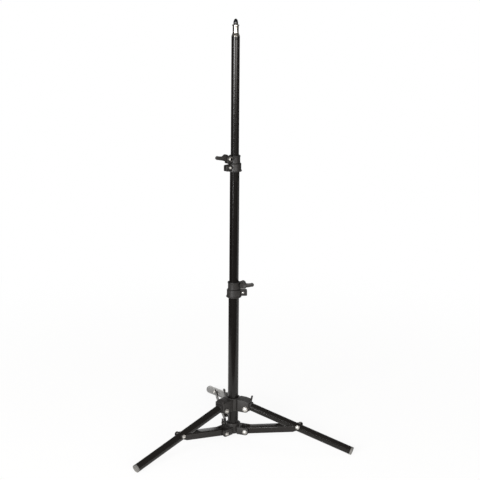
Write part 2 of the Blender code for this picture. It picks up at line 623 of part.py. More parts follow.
def hub(stand, joint, frames, finish):
    """Upper collar: a ring on the base tube with a roofed fork for each leg."""
    bore = BASE_RADIUS + HUB_GAP
    ring = bore + HUB_WALL
    low = HUB_PIVOT_HEIGHT - HUB_LUG_RADIUS
    edge = MOULDING_EDGE
    profile = [(bore, low), (ring - edge, low), (ring, low + edge), (ring, HUB_TOP - edge),
               (ring - edge, HUB_TOP), (bore, HUB_TOP)]
    body = piece("hub", turned("hub", profile, COLUMN_SIDES), finish, joint, stand)
    under_x = PIVOT_RADIUS
    leg_top = LEG_ABOVE_HUB_PIVOT + LEG_RADIUS + HUB_ROOF_GAP
    under_z = HUB_PIVOT_HEIGHT + leg_top / cos(LEG_SLOPE)

    def roof(x):
        return under_z - (x - under_x) * tan(LEG_SLOPE)

    middle = (bore + ring) / 2
    shoulder_x = PIVOT_RADIUS - LEG_EYE_RADIUS * 0.7
    fork = [(middle, low + edge)]
    fork += arc(PIVOT_RADIUS, HUB_PIVOT_HEIGHT, HUB_LUG_RADIUS, -90, -20, 5)
    fork += [(HUB_LUG_REACH, HUB_PIVOT_HEIGHT + LEG_EYE_RADIUS / 3),
             (HUB_LUG_REACH, roof(HUB_LUG_REACH) + HUB_ROOF),
             (shoulder_x, roof(shoulder_x) + HUB_ROOF * 0.8), (middle, HUB_TOP - edge)]
    slot_start = PIVOT_RADIUS - LEG_EYE_RADIUS - LEG_SIDE_GAP * 2
    slot_end = HUB_LUG_REACH + LEG_SIDE_GAP * 4
    slot = [(slot_start, low - edge), (slot_end, low - edge), (slot_end, roof(slot_end)),
            (PIVOT_RADIUS, roof(PIVOT_RADIUS)), (slot_start, HUB_PIVOT_HEIGHT + LEG_RADIUS)]
    tab_x = HUB_LUG_REACH - HUB_TAB_WIDTH / 2
    tab_low = roof(HUB_LUG_REACH) - HUB_ROOF
    tab_high = roof(HUB_LUG_REACH) + HUB_ROOF + HUB_TAB_HEIGHT
    lean = HUB_TAB_HEIGHT * tan(LEG_SLOPE)
    half_tab = HUB_TAB_WIDTH / 2
    tab = [(tab_x - half_tab, tab_low), (tab_x + half_tab, tab_low),
           (tab_x + half_tab + lean, tab_high), (tab_x - half_tab + lean, tab_high)]
    for frame in frames:
        mesh = plate("fork", fork, -HUB_HALF_WIDTH, HUB_HALF_WIDTH)
        shape_with(body, mesh, frame, "UNION")
        side = HUB_HALF_WIDTH - edge / 2
        shape_with(body, plate("tab", tab, side - HUB_LUG_THICKNESS * 0.7, side), frame, "UNION")
    for frame in frames:
        shape_with(body, plate("slot", slot, -LEG_HALF_SPACE, LEG_HALF_SPACE), frame)
        drill(body, HUB_BOLT_DIAMETER + 2 * SEAT_GAP, PIVOT_RADIUS, HUB_PIVOT_HEIGHT,
              2 * HUB_HALF_WIDTH, frame)
    core = [(0, 0), (bore, 0), (bore, 2 * HUB_TOP), (0, 2 * HUB_TOP)]
    shape_with(body, turned("core", core, COLUMN_SIDES), stand)


def lower_collar(stand, joint, frames, plastic, steel):
    """Fixed collar at the foot of the base tube, with an open fork for each brace."""
    bore = BASE_RADIUS + SEAT_GAP
    ring = bore + COLLAR_WALL
    edge = MOULDING_EDGE
    profile = [(bore, COLLAR_BOTTOM), (ring - edge, COLLAR_BOTTOM), (ring, COLLAR_BOTTOM + edge),
               (ring, COLLAR_TOP - edge), (ring - edge, COLLAR_TOP), (bore, COLLAR_TOP)]
    body = piece("lower_collar", turned("lower_collar", profile, COLUMN_SIDES), plastic, joint,
                 stand)
    middle = (bore + ring) / 2
    lug_end = PIVOT_RADIUS + COLLAR_LUG_RADIUS
    fork = [(middle, COLLAR_BOTTOM + edge)]
    fork += arc(PIVOT_RADIUS, COLLAR_PIVOT_HEIGHT, COLLAR_LUG_RADIUS, -80, 0, 5)
    fork += [(lug_end, COLLAR_PIVOT_HEIGHT + COLLAR_LUG_RADIUS * 0.7),
             (lug_end - COLLAR_LUG_RADIUS / 3, COLLAR_PIVOT_HEIGHT + COLLAR_LUG_TOP),
             (middle, COLLAR_PIVOT_HEIGHT + COLLAR_LUG_TOP + edge)]
    slot_start = PIVOT_RADIUS - hypot(BRACE_WEB_START, BRACE_HEIGHT / 2)
    slot_start = min(slot_start + SEAT_GAP, PIVOT_RADIUS - BRACE_COLLAR_END_RADIUS - SEAT_GAP)
    slot = box(slot_start, 0, 2 * lug_end, 2 * COLLAR_TOP)
    tab_x = ring + COLLAR_TAB_OFFSET
    half_tab = COLLAR_TAB_WIDTH / 2
    tab_high = COLLAR_TOP + COLLAR_TAB_HEIGHT
    tab = [(tab_x - half_tab, COLLAR_PIVOT_HEIGHT), (tab_x + half_tab, COLLAR_PIVOT_HEIGHT),
           (tab_x + half_tab * 0.7, tab_high), (tab_x - half_tab * 0.7, tab_high)]
    for frame in frames:
        mesh = plate("fork", fork, -COLLAR_HALF_WIDTH, COLLAR_HALF_WIDTH)
        shape_with(body, mesh, frame, "UNION")
        side = -COLLAR_HALF_WIDTH + edge / 2
        shape_with(body, plate("tab", tab, side, side + COLLAR_LUG_THICKNESS * 0.7), frame,
                   "UNION")
    for frame in frames:
        shape_with(body, plate("slot", slot, -COLLAR_SLOT_HALF, COLLAR_SLOT_HALF), frame)
        drill(body, COLLAR_BOLT_DIAMETER + 2 * SEAT_GAP, PIVOT_RADIUS, COLLAR_PIVOT_HEIGHT,
              2 * COLLAR_HALF_WIDTH, frame)
    core = [(0, 0), (bore, 0), (bore, 2 * COLLAR_TOP), (0, 2 * COLLAR_TOP)]
    shape_with(body, turned("core", core, COLUMN_SIDES), stand)
    set_screw(stand, joint, body, bore, ring, steel)


def set_screw(stand, joint, collar, bore, ring, steel):
    """Screw through the collar's wall that grips the base tube."""
    height = (COLLAR_BOTTOM + COLLAR_TOP) / 2
    frame = stand @ turn_z(SET_SCREW_TURN) @ move(0, 0, height)
    shank = SET_SCREW_DIAMETER / 2
    head = SET_SCREW_HEAD_DIAMETER / 2
    face = ring + SEAT_GAP
    high = face + SET_SCREW_HEAD_HEIGHT
    profile = [(0, bore), (shank, bore), (shank, face), (head, face), (head, high - shank / 4),
               (head * 0.8, high), (0, high)]
    piece("collar_screw", turned("collar_screw", profile, BOLT_SIDES, "X"), steel, joint, frame)
    hole = shank + SEAT_GAP
    cut = [(0, bore / 2), (hole, bore / 2), (hole, 2 * ring), (0, 2 * ring)]
    shape_with(collar, turned("screw_hole", cut, BOLT_SIDES, "X"), frame)


def leg(number, frame, joint, finish):
    """Leg tube with the head that carries its eye and the plug that it stands on."""
    pivot_frame = frame @ move(PIVOT_RADIUS, 0, HUB_PIVOT_HEIGHT)
    slope = pivot_frame @ Matrix.Rotation(LEG_SLOPE, 4, "Y")
    axis = slope @ move(0, 0, LEG_ABOVE_HUB_PIVOT)
    foot_face = LEG_REACH - FOOT_LIP_LENGTH
    body = tube("leg_tube_%d" % number, LEG_DIAMETER, TUBE_WALL, LEG_HEAD_LENGTH + SEAT_GAP,
                foot_face - SEAT_GAP, finish["paint"], joint, axis, LEG_SIDES, "X")
    drill(body, LEG_BOLT_DIAMETER + 2 * SEAT_GAP, LEG_BOLT_DISTANCE, LEG_BOLT_RISE,
          2 * LEG_DIAMETER, slope)
    leg_head(number, slope, axis, joint, finish["plastic"])
    foot_plug(number, axis, frame, joint, finish["foot"])


def leg_head(number, slope, axis, joint, finish):
    """Moulded head pushed into the leg tube; its eye turns on the hub bolt."""
    top = LEG_ABOVE_HUB_PIVOT + LEG_RADIUS
    bottom = LEG_ABOVE_HUB_PIVOT - LEG_RADIUS
    outline = [(LEG_HEAD_LENGTH, bottom)]
    outline += arc(0, 0, LEG_EYE_RADIUS, 300, 140, 8)
    outline += [(-LEG_EYE_RADIUS * 0.35, top - LEG_EYE_RADIUS * 0.2),
                (LEG_EYE_RADIUS * 0.25, top), (LEG_HEAD_LENGTH, top)]
    name = "leg_head_%d" % number
    half = LEG_RADIUS - SEAT_GAP
    body = piece(name, plate(name, outline, -half, half), finish, joint, slope)
    plug = LEG_RADIUS - TUBE_WALL - SEAT_GAP
    end = LEG_HEAD_LENGTH + LEG_HEAD_PLUG
    profile = [(0, LEG_HEAD_LENGTH / 2), (plug, LEG_HEAD_LENGTH / 2), (plug, end - plug / 8),
               (plug * 0.875, end), (0, end)]
    shape_with(body, turned("plug", profile, LEG_SIDES, "X"), axis, "UNION")
    drill(body, HUB_BOLT_DIAMETER + 2 * SEAT_GAP, 0, 0, LEG_DIAMETER, slope)


def foot_plug(number, axis, frame, joint, finish):
    """Plug in the end of the leg, worn flat where it meets the floor."""
    plug = LEG_RADIUS - TUBE_WALL - SEAT_GAP
    lip_start = LEG_REACH - FOOT_LIP_LENGTH
    start = lip_start - FOOT_PLUG_LENGTH
    profile = [(0, start), (plug * 0.875, start), (plug, start + plug / 8), (plug, lip_start),
               (LEG_LIP_RADIUS, lip_start), (LEG_LIP_RADIUS, LEG_REACH - FOOT_CHAMFER),
               (LEG_LIP_RADIUS - FOOT_CHAMFER, LEG_REACH), (0, LEG_REACH)]
    name = "foot_plug_%d" % number
    body = piece(name, turned(name, profile, LEG_SIDES, "X"), finish, joint, axis)
    floor = box(FOOT_RADIUS - 2 * LEG_DIAMETER, -LEG_DIAMETER, FOOT_RADIUS + 2 * LEG_DIAMETER, 0)
    shape_with(body, plate("floor", floor, -LEG_DIAMETER, LEG_DIAMETER), frame)


def brace(number, frame, joint, finish):
    """Folded channel: its web faces up, and is cut away where the leg passes through."""
    slope = frame @ move(PIVOT_RADIUS, 0, COLLAR_PIVOT_HEIGHT) @ Matrix.Rotation(
        -BRACE_SLOPE, 4, "Y")
    fall = (BRACE_RISE_AT_COLLAR + BRACE_DROP_AT_LEG) / BRACE_LENGTH

    def edge(x, side):
        return BRACE_RISE_AT_COLLAR - fall * x + side * BRACE_HEIGHT / 2

    length = BRACE_LENGTH
    near = BRACE_COLLAR_END_RADIUS
    far = BRACE_LEG_END_RADIUS
    outline = arc(0, 0, near, 150, 230, 4)
    outline += [(0, edge(0, -1)), (length - 2 * far, edge(length - 2 * far, -1))]
    outline += arc(length, 0, far, -60, 90, 7)
    outline += [(length - 1.7 * far, edge(length - 1.7 * far, 1)), (near * 0.6, edge(0, 1))]
    name = "brace_%d" % number
    body = piece(name, plate(name, outline, -BRACE_HALF_WIDTH, BRACE_HALF_WIDTH), finish, joint,
                 slope)
    below = -2 * BRACE_HEIGHT
    above = 2 * BRACE_HEIGHT
    start, end = BRACE_WEB_START, BRACE_WEB_END
    inside = [(-4 * near, below), (length + 4 * far, below), (length + 4 * far, above),
              (end, above), (end, edge(end, 1) - BRACE_SHEET),
              (start, edge(start, 1) - BRACE_SHEET), (start, above), (-4 * near, above)]
    shape_with(body, plate("inside", inside, -LEG_HALF_SPACE, LEG_HALF_SPACE), slope)
    drill(body, COLLAR_BOLT_DIAMETER + 2 * SEAT_GAP, 0, 0, 2 * BRACE_HALF_WIDTH, slope)
    drill(body, LEG_BOLT_DIAMETER + 2 * SEAT_GAP, length, 0, 2 * BRACE_HALF_WIDTH, slope)


def leg_fasteners(number, frame, joints, steel):
    """The three pivot bolts of one leg, with their nuts."""
    hub_pivot = frame @ move(PIVOT_RADIUS, 0, HUB_PIVOT_HEIGHT)
    bolt("hub_bolt_%d" % number, hub_pivot, HUB_BOLT_DIAMETER, HUB_BOLT_HEAD_DIAMETER,
         HUB_BOLT_HEAD_HEIGHT, HUB_HALF_WIDTH, joints["hub"], steel)
    nut("hub_nut_%d" % number, hub_pivot, HUB_BOLT_DIAMETER, HUB_HALF_WIDTH, joints["hub"], steel)
    leg_pivot = hub_pivot @ Matrix.Rotation(LEG_SLOPE, 4, "Y") @ move(
        LEG_BOLT_DISTANCE, 0, LEG_BOLT_RISE)
    leg_joint = joints["leg_%d" % number]
    bolt("leg_bolt_%d" % number, leg_pivot, LEG_BOLT_DIAMETER, LEG_BOLT_HEAD_DIAMETER,
         LEG_BOLT_HEAD_HEIGHT, BRACE_HALF_WIDTH, leg_joint, steel)
    nut("leg_nut_%d" % number, leg_pivot, LEG_BOLT_DIAMETER, BRACE_HALF_WIDTH, leg_joint, steel)
    collar_pivot = frame @ move(PIVOT_RADIUS, 0, COLLAR_PIVOT_HEIGHT)
    bolt("collar_bolt_%d" % number, collar_pivot, COLLAR_BOLT_DIAMETER,
         COLLAR_BOLT_HEAD_DIAMETER, COLLAR_BOLT_HEAD_HEIGHT, COLLAR_HALF_WIDTH, joints["stand"],
         steel)
    nut("collar_nut_%d" % number, collar_pivot, COLLAR_BOLT_DIAMETER, COLLAR_HALF_WIDTH,
        joints["stand"], steel)


def joint_tree(stand, frames, lower_clamp, upper_clamp):
    """Empties on the joint axes, each under the one that carries it."""
    joints = {"stand": pivot("stand", None, stand)}
    root = joints["stand"]
    hub_pivots = []
    leg_pivots = []
    collar_pivots = []
    for frame in frames:
        hub_pivot = frame @ move(PIVOT_RADIUS, 0, HUB_PIVOT_HEIGHT)
        hub_pivots.append(hub_pivot)
        leg_pivots.append(hub_pivot @ Matrix.Rotation(LEG_SLOPE, 4, "Y") @ move(
            LEG_BOLT_DISTANCE, 0, LEG_BOLT_RISE))
        collar_pivots.append(frame @ move(PIVOT_RADIUS, 0, COLLAR_PIVOT_HEIGHT))
    for index, place in enumerate(collar_pivots):
        name = "brace_%d" % (index + 1)
        joints[name] = pivot(name + "_pivot", root, place)
    joints["leg_1"] = pivot("leg_1_pivot", joints["brace_1"], leg_pivots[0])
    joints["hub"] = pivot("hub_pivot", joints["leg_1"], hub_pivots[0])
    for index in range(1, LEG_COUNT):
        name = "leg_%d" % (index + 1)
        joints[name] = pivot(name + "_pivot", joints["hub"], hub_pivots[index])
    joints["middle_slide"] = pivot("middle_slide", root, stand)
    joints["middle_turn"] = pivot("middle_turn", joints["middle_slide"], stand)
    joints["top_slide"] = pivot("top_slide", joints["middle_turn"], stand)
    joints["top_turn"] = pivot("top_turn", joints["top_slide"], stand)
    joints["cap"] = pivot("cap_slide", joints["top_turn"], stand)
    joints["lower_knob"] = pivot("lower_knob_pivot", root, lower_clamp.bolt_frame)
    joints["upper_knob"] = pivot("upper_knob_pivot", joints["middle_turn"],
                                 upper_clamp.bolt_frame)
    return joints


def apply_cuts():
    """Put each cut and join into the piece's own mesh, so that its new edges are shaded."""
    bpy.context.view_layer.update()
    view = bpy.context.evaluated_depsgraph_get()
    shaped = [thing for thing in bpy.data.objects if thing.modifiers]
    results = [bpy.data.meshes.new_from_object(thing.evaluated_get(view)) for thing in shaped]
    for thing, mesh in zip(shaped, results):
        thing.modifiers.clear()
        thing.data = mesh
        mesh.shade_smooth()
        mesh.set_sharp_from_angle(angle=SMOOTH_ANGLE)
    for thing in list(bpy.data.objects):
        if thing.display_type == "WIRE":
            bpy.data.objects.remove(thing, do_unlink=True)


def build():
    clear_scene()
    finish = {
        "paint": material("gloss_black_paint", 31, 29, 27, 0.0, 0.28),
        "plastic": material("black_moulding", 52, 50, 49, 0.0, 0.5),
        "nylon": material("dark_liner", 30, 30, 30, 0.0, 0.55),
        "steel": material("zinc_steel", 196, 194, 190, 1.0, 0.32),
        "chrome": material("chromed_spigot", 205, 203, 198, 1.0, 0.18),
        "rubber": material("black_cap", 24, 24, 26, 0.0, 0.35),
        "foot": material("grey_foot", 108, 108, 108, 0.0, 0.6),
    }
    stand = move(0, -feet_centre(), 0)
    turns = [FIRST_LEG_TURN + 2 * pi * index / LEG_COUNT for index in range(LEG_COUNT)]
    frames = [stand @ turn_z(turn) for turn in turns]
    lower_clamp = ClampSizes(stand, LOWER_CLAMP_BOTTOM, LOWER_CLAMP_TURN, BASE_TUBE_DIAMETER,
                             MIDDLE_TUBE_DIAMETER)
    upper_clamp = ClampSizes(stand, UPPER_CLAMP_BOTTOM, UPPER_CLAMP_TURN, MIDDLE_TUBE_DIAMETER,
                             TOP_TUBE_DIAMETER)
    joints = joint_tree(stand, frames, lower_clamp, upper_clamp)
    top_tube = column(stand, joints, finish["paint"], finish["nylon"])
    spigot(stand, joints["top_turn"], top_tube, finish["chrome"], finish["nylon"])
    thread_cap(stand, joints["cap"], finish["rubber"])
    clamp("lower", lower_clamp, joints["stand"], joints["lower_knob"], finish)
    clamp("upper", upper_clamp, joints["middle_turn"], joints["upper_knob"], finish)
    hub(stand, joints["hub"], frames, finish["plastic"])
    lower_collar(stand, joints["stand"], frames, finish["plastic"], finish["steel"])
    for index, frame in enumerate(frames):
        number = index + 1
        leg(number, frame, joints["leg_%d" % number], finish)
        brace(number, frame, joints["brace_%d" % number], finish["paint"])
        leg_fasteners(number, frame, joints, finish["steel"])
    apply_cuts()


build()
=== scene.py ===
"""Looks of a folding light stand: painted tubes, moulded clamps, hub and collar, folded braces,
plated fasteners, spigot and cap, all in metres round the fixed frame."""

import json
from types import SimpleNamespace

import bpy
import numpy as np
from mathutils import Matrix, Vector


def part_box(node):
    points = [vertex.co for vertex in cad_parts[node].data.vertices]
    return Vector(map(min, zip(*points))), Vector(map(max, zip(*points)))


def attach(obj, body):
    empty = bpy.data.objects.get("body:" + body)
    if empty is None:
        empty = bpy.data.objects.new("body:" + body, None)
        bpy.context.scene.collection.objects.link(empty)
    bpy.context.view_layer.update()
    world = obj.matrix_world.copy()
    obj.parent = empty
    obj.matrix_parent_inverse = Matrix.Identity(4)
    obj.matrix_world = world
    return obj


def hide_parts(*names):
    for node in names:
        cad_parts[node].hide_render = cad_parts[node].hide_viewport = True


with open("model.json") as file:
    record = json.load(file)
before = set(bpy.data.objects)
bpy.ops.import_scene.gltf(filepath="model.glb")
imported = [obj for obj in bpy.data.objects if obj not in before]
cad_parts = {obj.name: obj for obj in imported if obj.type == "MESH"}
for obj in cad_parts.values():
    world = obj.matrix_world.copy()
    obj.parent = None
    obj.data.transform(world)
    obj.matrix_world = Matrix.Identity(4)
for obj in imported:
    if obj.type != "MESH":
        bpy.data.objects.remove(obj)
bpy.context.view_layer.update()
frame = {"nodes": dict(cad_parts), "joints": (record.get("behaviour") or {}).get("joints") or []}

# Column tubes
# Three drawn aluminium tubes that telescope, stove-enamelled gloss black. Each is cut square and
# its rim broken; the lower two stop half way up their clamps.

MM = 0.001
BASE_DIAMETER = 25 * MM
MIDDLE_DIAMETER = 22 * MM
TOP_DIAMETER = 19 * MM
TUBE_WALL = 1.2 * MM
RIM_ROUND = 0.35 * MM
SHARP_ANGLE = np.radians(38)
PEEL_SIZE = 2.4 * MM
PEEL_DEPTH = 0.05 * MM
ENAMEL_CLOUD = 45 * MM
RUB_WIDTH = 1.5 * MM
RUB_LENGTH = 90 * MM


def linear(code):
    """Linear colour of an sRGB hex value: a dark channel is divided by 12.92, and any other is
    ((c + 0.055) / 1.055) to the power of 2.4."""
    channels = np.array([int(code[place:place + 2], 16) for place in (1, 3, 5)]) / 255
    curved = ((channels + 0.055) / 1.055) ** 2.4
    return (*np.where(channels <= 0.04045, channels / 12.92, curved), 1.0)


def add(tree, kind, inputs=None, **settings):
    """One node: settings are its properties, and each input takes a value or an output socket."""
    node = tree.nodes.new(kind)
    for name, value in settings.items():
        setattr(node, name, value)
    for socket, value in (inputs or {}).items():
        if isinstance(value, bpy.types.NodeSocket):
            tree.links.new(value, node.inputs[socket])
        else:
            node.inputs[socket].default_value = value
    return node


def surface(name, roughness, metallic=0.0):
    """New material with a Principled shader; returns it, its tree and the shader."""
    made = bpy.data.materials.new(name)
    made.use_nodes = True
    tree = made.node_tree
    shader = tree.nodes["Principled BSDF"]
    shader.inputs["Roughness"].default_value = roughness
    shader.inputs["Metallic"].default_value = metallic
    return made, tree, shader


def per_metre(pattern_size):
    """Noise scale for features of a real size: one feature is about one noise cell."""
    return 1.0 / pattern_size


def clouded(tree, shader, place, dark, light, size, detail):
    """Base colour that drifts between two tones in soft clouds of a real size. Returns the
    clouds, which the roughness may follow too."""
    cloud = add(tree, "ShaderNodeTexNoise", {
        "Vector": place.outputs["Object"], "Scale": per_metre(size), "Detail": detail})
    tint = add(tree, "ShaderNodeMix", {
        "Factor": cloud.outputs["Fac"], "A": linear(dark), "B": linear(light)},
        data_type="RGBA")
    tree.links.new(tint.outputs["Result"], shader.inputs["Base Color"])
    return cloud


def textured(tree, shader, rough, grain, strength, depth):
    """Roughness that follows one pattern, and a relief of a real depth that follows another."""
    tree.links.new(rough.outputs["Result"], shader.inputs["Roughness"])
    bump = add(tree, "ShaderNodeBump", {
        "Strength": strength, "Distance": depth, "Height": grain.outputs["Fac"]})
    tree.links.new(bump.outputs["Normal"], shader.inputs["Normal"])


def gloss_enamel(name, dark, light, roughness):
    """Stove enamel on metal, sprayed and baked: a deep black with a faint orange peel, and
    hairline rub marks along the piece that only dull the gloss."""
    made, tree, shader = surface(name, roughness)
    place = add(tree, "ShaderNodeTexCoord")
    peel = add(tree, "ShaderNodeTexNoise", {
        "Vector": place.outputs["Object"], "Scale": per_metre(PEEL_SIZE), "Detail": 2.0})
    clouded(tree, shader, place, dark, light, ENAMEL_CLOUD, detail=4.0)
    lengthwise = add(tree, "ShaderNodeMapping", {
        "Vector": place.outputs["UV"],
        "Scale": (per_metre(RUB_WIDTH), per_metre(RUB_LENGTH), 1.0)})
    rubs = add(tree, "ShaderNodeTexNoise", {
        "Vector": lengthwise.outputs["Vector"], "Scale": 1.0, "Detail": 3.0})
    dulled = add(tree, "ShaderNodeMapRange", {
        "Value": rubs.outputs["Fac"], "From Min": 0.45, "From Max": 0.75,
        "To Min": roughness, "To Max": roughness + 0.03})
    textured(tree, shader, dulled, peel, 0.10, PEEL_DEPTH)
    return made


def skin(name, grid, wrap_rows=False, ends="fan"):
    """Mesh over a grid of points (rows, columns, 3) whose columns close round on themselves.
    Rows close too if wrap_rows; otherwise each end row is shut by a fan to its middle or by one
    face. The map's u runs round and v along, in metres. Faces are turned to point outwards."""
    rows, columns, _ = grid.shape
    spans = rows if wrap_rows else rows - 1
    row, column = np.meshgrid(np.arange(spans), np.arange(columns), indexing="ij")
    corner_row = np.stack([row, row, row + 1, row + 1], -1).reshape(-1, 4)
    corner_column = np.stack([column, column + 1, column + 1, column], -1).reshape(-1, 4)
    quads = (corner_row % rows) * columns + corner_column % columns
    round_step = np.linalg.norm(np.roll(grid, -1, 1) - grid, axis=2).sum(1).max() / columns
    row_steps = np.linalg.norm(np.roll(grid, -1, 0) - grid, axis=2).mean(1)
    along = np.concatenate([[0.0], np.cumsum(row_steps)])
    faces = quads.tolist()
    uv = [np.stack([corner_column * round_step, along[corner_row]], -1).reshape(-1, 2)]
    points = grid.reshape(-1, 3)
    if not wrap_rows:
        here = np.arange(columns)
        for end, side in ((0, 1), (rows - 1, -1)):
            ring = end * columns + here
            reach = np.linalg.norm(grid[end] - grid[end].mean(0), axis=1).mean()
            if ends == "fan":
                points = np.vstack([points, grid[end].mean(0)])
                middle = np.full(columns, len(points) - 1)
                fan = np.stack([middle, np.roll(ring, -1), ring][::side], -1)
                faces += fan.tolist()
                u = np.stack([here + 0.5, here + 1, here][::side], -1) * round_step
                v = np.stack([here * 0 - reach * side, here * 0, here * 0][::side], -1)
                uv.append(np.stack([u, v + along[end]], -1).reshape(-1, 2))
            else:
                faces.append(ring[::-side].tolist())
                uv.append(np.zeros((columns, 2)))
    mesh = bpy.data.meshes.new(name)
    mesh.from_pydata(points.tolist(), [], faces)
    mesh.uv_layers.new(name="Surface").data.foreach_set("uv", np.vstack(uv).ravel())
    a, b, c, d = (points[quads[:, corner]] for corner in range(4))
    volume = np.einsum("ij,ij->i", a, np.cross(b, c) + np.cross(c, d)).sum()
    if volume < 0:
        mesh.flip_normals()
    return mesh


def outline(*parts):
    """Closed outline. A part is an array of points, taken as they are, or one corner
    (x, z, radius) that is rounded by an arc tangent to both of its sides."""
    parts = [np.atleast_2d(part) for part in parts]
    corners = np.vstack([part[:, :2] for part in parts])
    radii = np.concatenate([part[:, 2] if part.shape[1] == 3 else np.zeros(len(part))
                            for part in parts])
    before = np.roll(corners, 1, 0) - corners
    after = np.roll(corners, -1, 0) - corners
    result = []
    for corner, radius, back, ahead in zip(corners, radii, before, after):
        if radius == 0:
            result.append(corner[None])
            continue
        lengths = np.linalg.norm(back), np.linalg.norm(ahead)
        back, ahead = back / lengths[0], ahead / lengths[1]
        half = np.arccos(np.clip(back @ ahead, -1, 1)) / 2
        reach = min(radius / np.tan(half), 0.49 * min(lengths))
        middle = (back + ahead) / np.linalg.norm(back + ahead)
        centre = corner + middle * reach / np.cos(half)
        start, end = corner + back * reach - centre, corner + ahead * reach - centre
        first = np.arctan2(start[1], start[0])
        swing = (np.arctan2(end[1], end[0]) - first + np.pi) % (2 * np.pi) - np.pi
        turn = first + swing * np.linspace(0, 1, 7)
        bow = reach * np.tan(half) * np.column_stack([np.cos(turn), np.sin(turn)])
        result.append(centre + bow)
    return np.vstack(result)


def turned(name, profile, around=96, hollow=False, shape=None):
    """Surface turned about Z: each (radius, along) of the profile goes round a circle. shape, if
    given, changes the radii as a function of radius, along and angle."""
    profile = np.asarray(profile)
    if not hollow:
        profile = profile[profile[:, 0] > 1e-7]
    angle = 2 * np.pi * np.arange(around)[None, :] / around
    radius = np.repeat(profile[:, :1], around, 1)
    along = np.repeat(profile[:, 1:], around, 1)
    if shape:
        radius = shape(radius, along, angle)
    grid = np.stack([radius * np.cos(angle), radius * np.sin(angle), along], -1)
    return skin(name, grid, wrap_rows=hollow)


def object_of(name, data):
    """New object in the scene, at the origin, that carries a mesh, a lamp or a camera."""
    thing = bpy.data.objects.new(name, data)
    bpy.context.scene.collection.objects.link(thing)
    return thing


def show(name, mesh, place, material, body, slot, *nodes):
    """Puts a mesh where it belongs; it rides on a body and stands for its CAD nodes."""
    mesh.transform(place)
    mesh.materials.clear()
    mesh.materials.append(material)
    mesh.shade_smooth()
    mesh.set_sharp_from_angle(angle=SHARP_ANGLE)
    piece = object_of(name, mesh)
    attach(piece, body)
    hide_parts(*nodes)
    return piece


def pipe(name, diameter, wall, low, high):
    """Tube with both rims broken: the profile is the wall's rectangle with rounded corners. Two
    rings of points near the ends keep the shading of the long walls straight."""
    outer = diameter / 2
    inner = outer - wall
    near, far = low + 3 * RIM_ROUND, high - 3 * RIM_ROUND
    profile = outline((outer, low, RIM_ROUND), [(outer, near), (outer, far)],
                      (outer, high, RIM_ROUND), (inner, high, RIM_ROUND),
                      [(inner, far), (inner, near)], (inner, low, RIM_ROUND))
    return turned(name, profile, hollow=True)


def heights(node):
    """Lowest and highest z of a CAD node."""
    low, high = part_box(node)
    return low.z, high.z


base_low, base_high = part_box("base_tube")
column = Matrix.Translation(((base_low.x + base_high.x) / 2, (base_low.y + base_high.y) / 2, 0))
tube_enamel = gloss_enamel("gloss_black_enamel_on_tube", "#110F0E", "#1A1817", 0.15)
for node, diameter, body in (("base_tube", BASE_DIAMETER, "root"),
                             ("middle_tube", MIDDLE_DIAMETER, "middle_tube"),
                             ("top_tube", TOP_DIAMETER, "top_tube")):
    tube = pipe(node, diameter, TUBE_WALL, *heights(node))
    show("enamelled_" + node, tube, column, tube_enamel, body, "tube_paint", node)

# Guide plugs
# Two short acetal plugs pressed into the lower ends of the sliding tubes. They stay hidden in
# the tubes below, so the solids stand as they are, with a moulded finish.

# the real grain is about 0.2 mm, drawn at 0.7 mm so that it still breaks up the gloss
GRAIN = 0.7 * MM
FLOW_CLOUD = 14 * MM


def moulded(name, dark, light, roughness, grain, depth):
    """Injection-moulded plastic with the spark-eroded grain of its mould: an even satin, broken
    by faint flow clouds and by small rubbed, shinier spots."""
    made, tree, shader = surface(name, roughness)
    place = add(tree, "ShaderNodeTexCoord")
    cloud = clouded(tree, shader, place, dark, light, FLOW_CLOUD, detail=5.0)
    fine = add(tree, "ShaderNodeTexNoise", {
        "Vector": place.outputs["Object"], "Scale": per_metre(grain), "Detail": 2.0})
    rubbed = add(tree, "ShaderNodeMapRange", {
        "Value": cloud.outputs["Fac"], "From Min": 0.35, "From Max": 0.7,
        "To Min": roughness + 0.06, "To Max": roughness - 0.08})
    textured(tree, shader, rubbed, fine, 0.25, depth)
    return made


acetal = moulded("moulded_black_acetal", "#181818", "#232323", 0.45, GRAIN, 0.03 * MM)
for node in ("middle_guide", "top_guide"):
    frame["nodes"][node].data.materials.clear()
    frame["nodes"][node].data.materials.append(acetal)

# Spigot with its thread stud, and its rivet
# Steel turned in one piece, plated bright and pushed into the top tube, where a black rivet holds
# it. The stud has a rolled thread, seen when the cap is off.

SPIGOT_RIM_DIAMETER = 15.8 * MM
SPIGOT_NECK_DIAMETER = 13.6 * MM
SPIGOT_RIM = 3.2 * MM
SPIGOT_CONE = 7.1 * MM
SPIGOT_STEP = 0.7 * MM
SPIGOT_INSET = 0.4 * MM
CONE_HOLLOW = 3.0 * MM
STUD_DIAMETER = 6.2 * MM
STUD_LENGTH = 9.5 * MM
STUD_PITCH = 1.27 * MM
STUD_PLAIN = 0.6 * MM
STUD_THREAD_DEPTH = 0.55 * STUD_PITCH
STUD_RUN_OUT = 0.9 * MM
STUD_TIP_SHARE = 0.78
SEAT_RELIEF_DIAMETER = 11.2 * MM
RIVET_TURN = np.radians(-87)
RIVET_HEAD_DIAMETER = 5.0 * MM
RIVET_HEAD_HEIGHT = 1.0 * MM
RIVET_SHANK_DIAMETER = 3.2 * MM
RIVET_SHANK = 5 * MM
GAP = 0.3 * MM
PLATING_CLOUD = 7 * MM
RING_LENGTH = 20 * MM
RING_DEPTH = 0.01 * MM


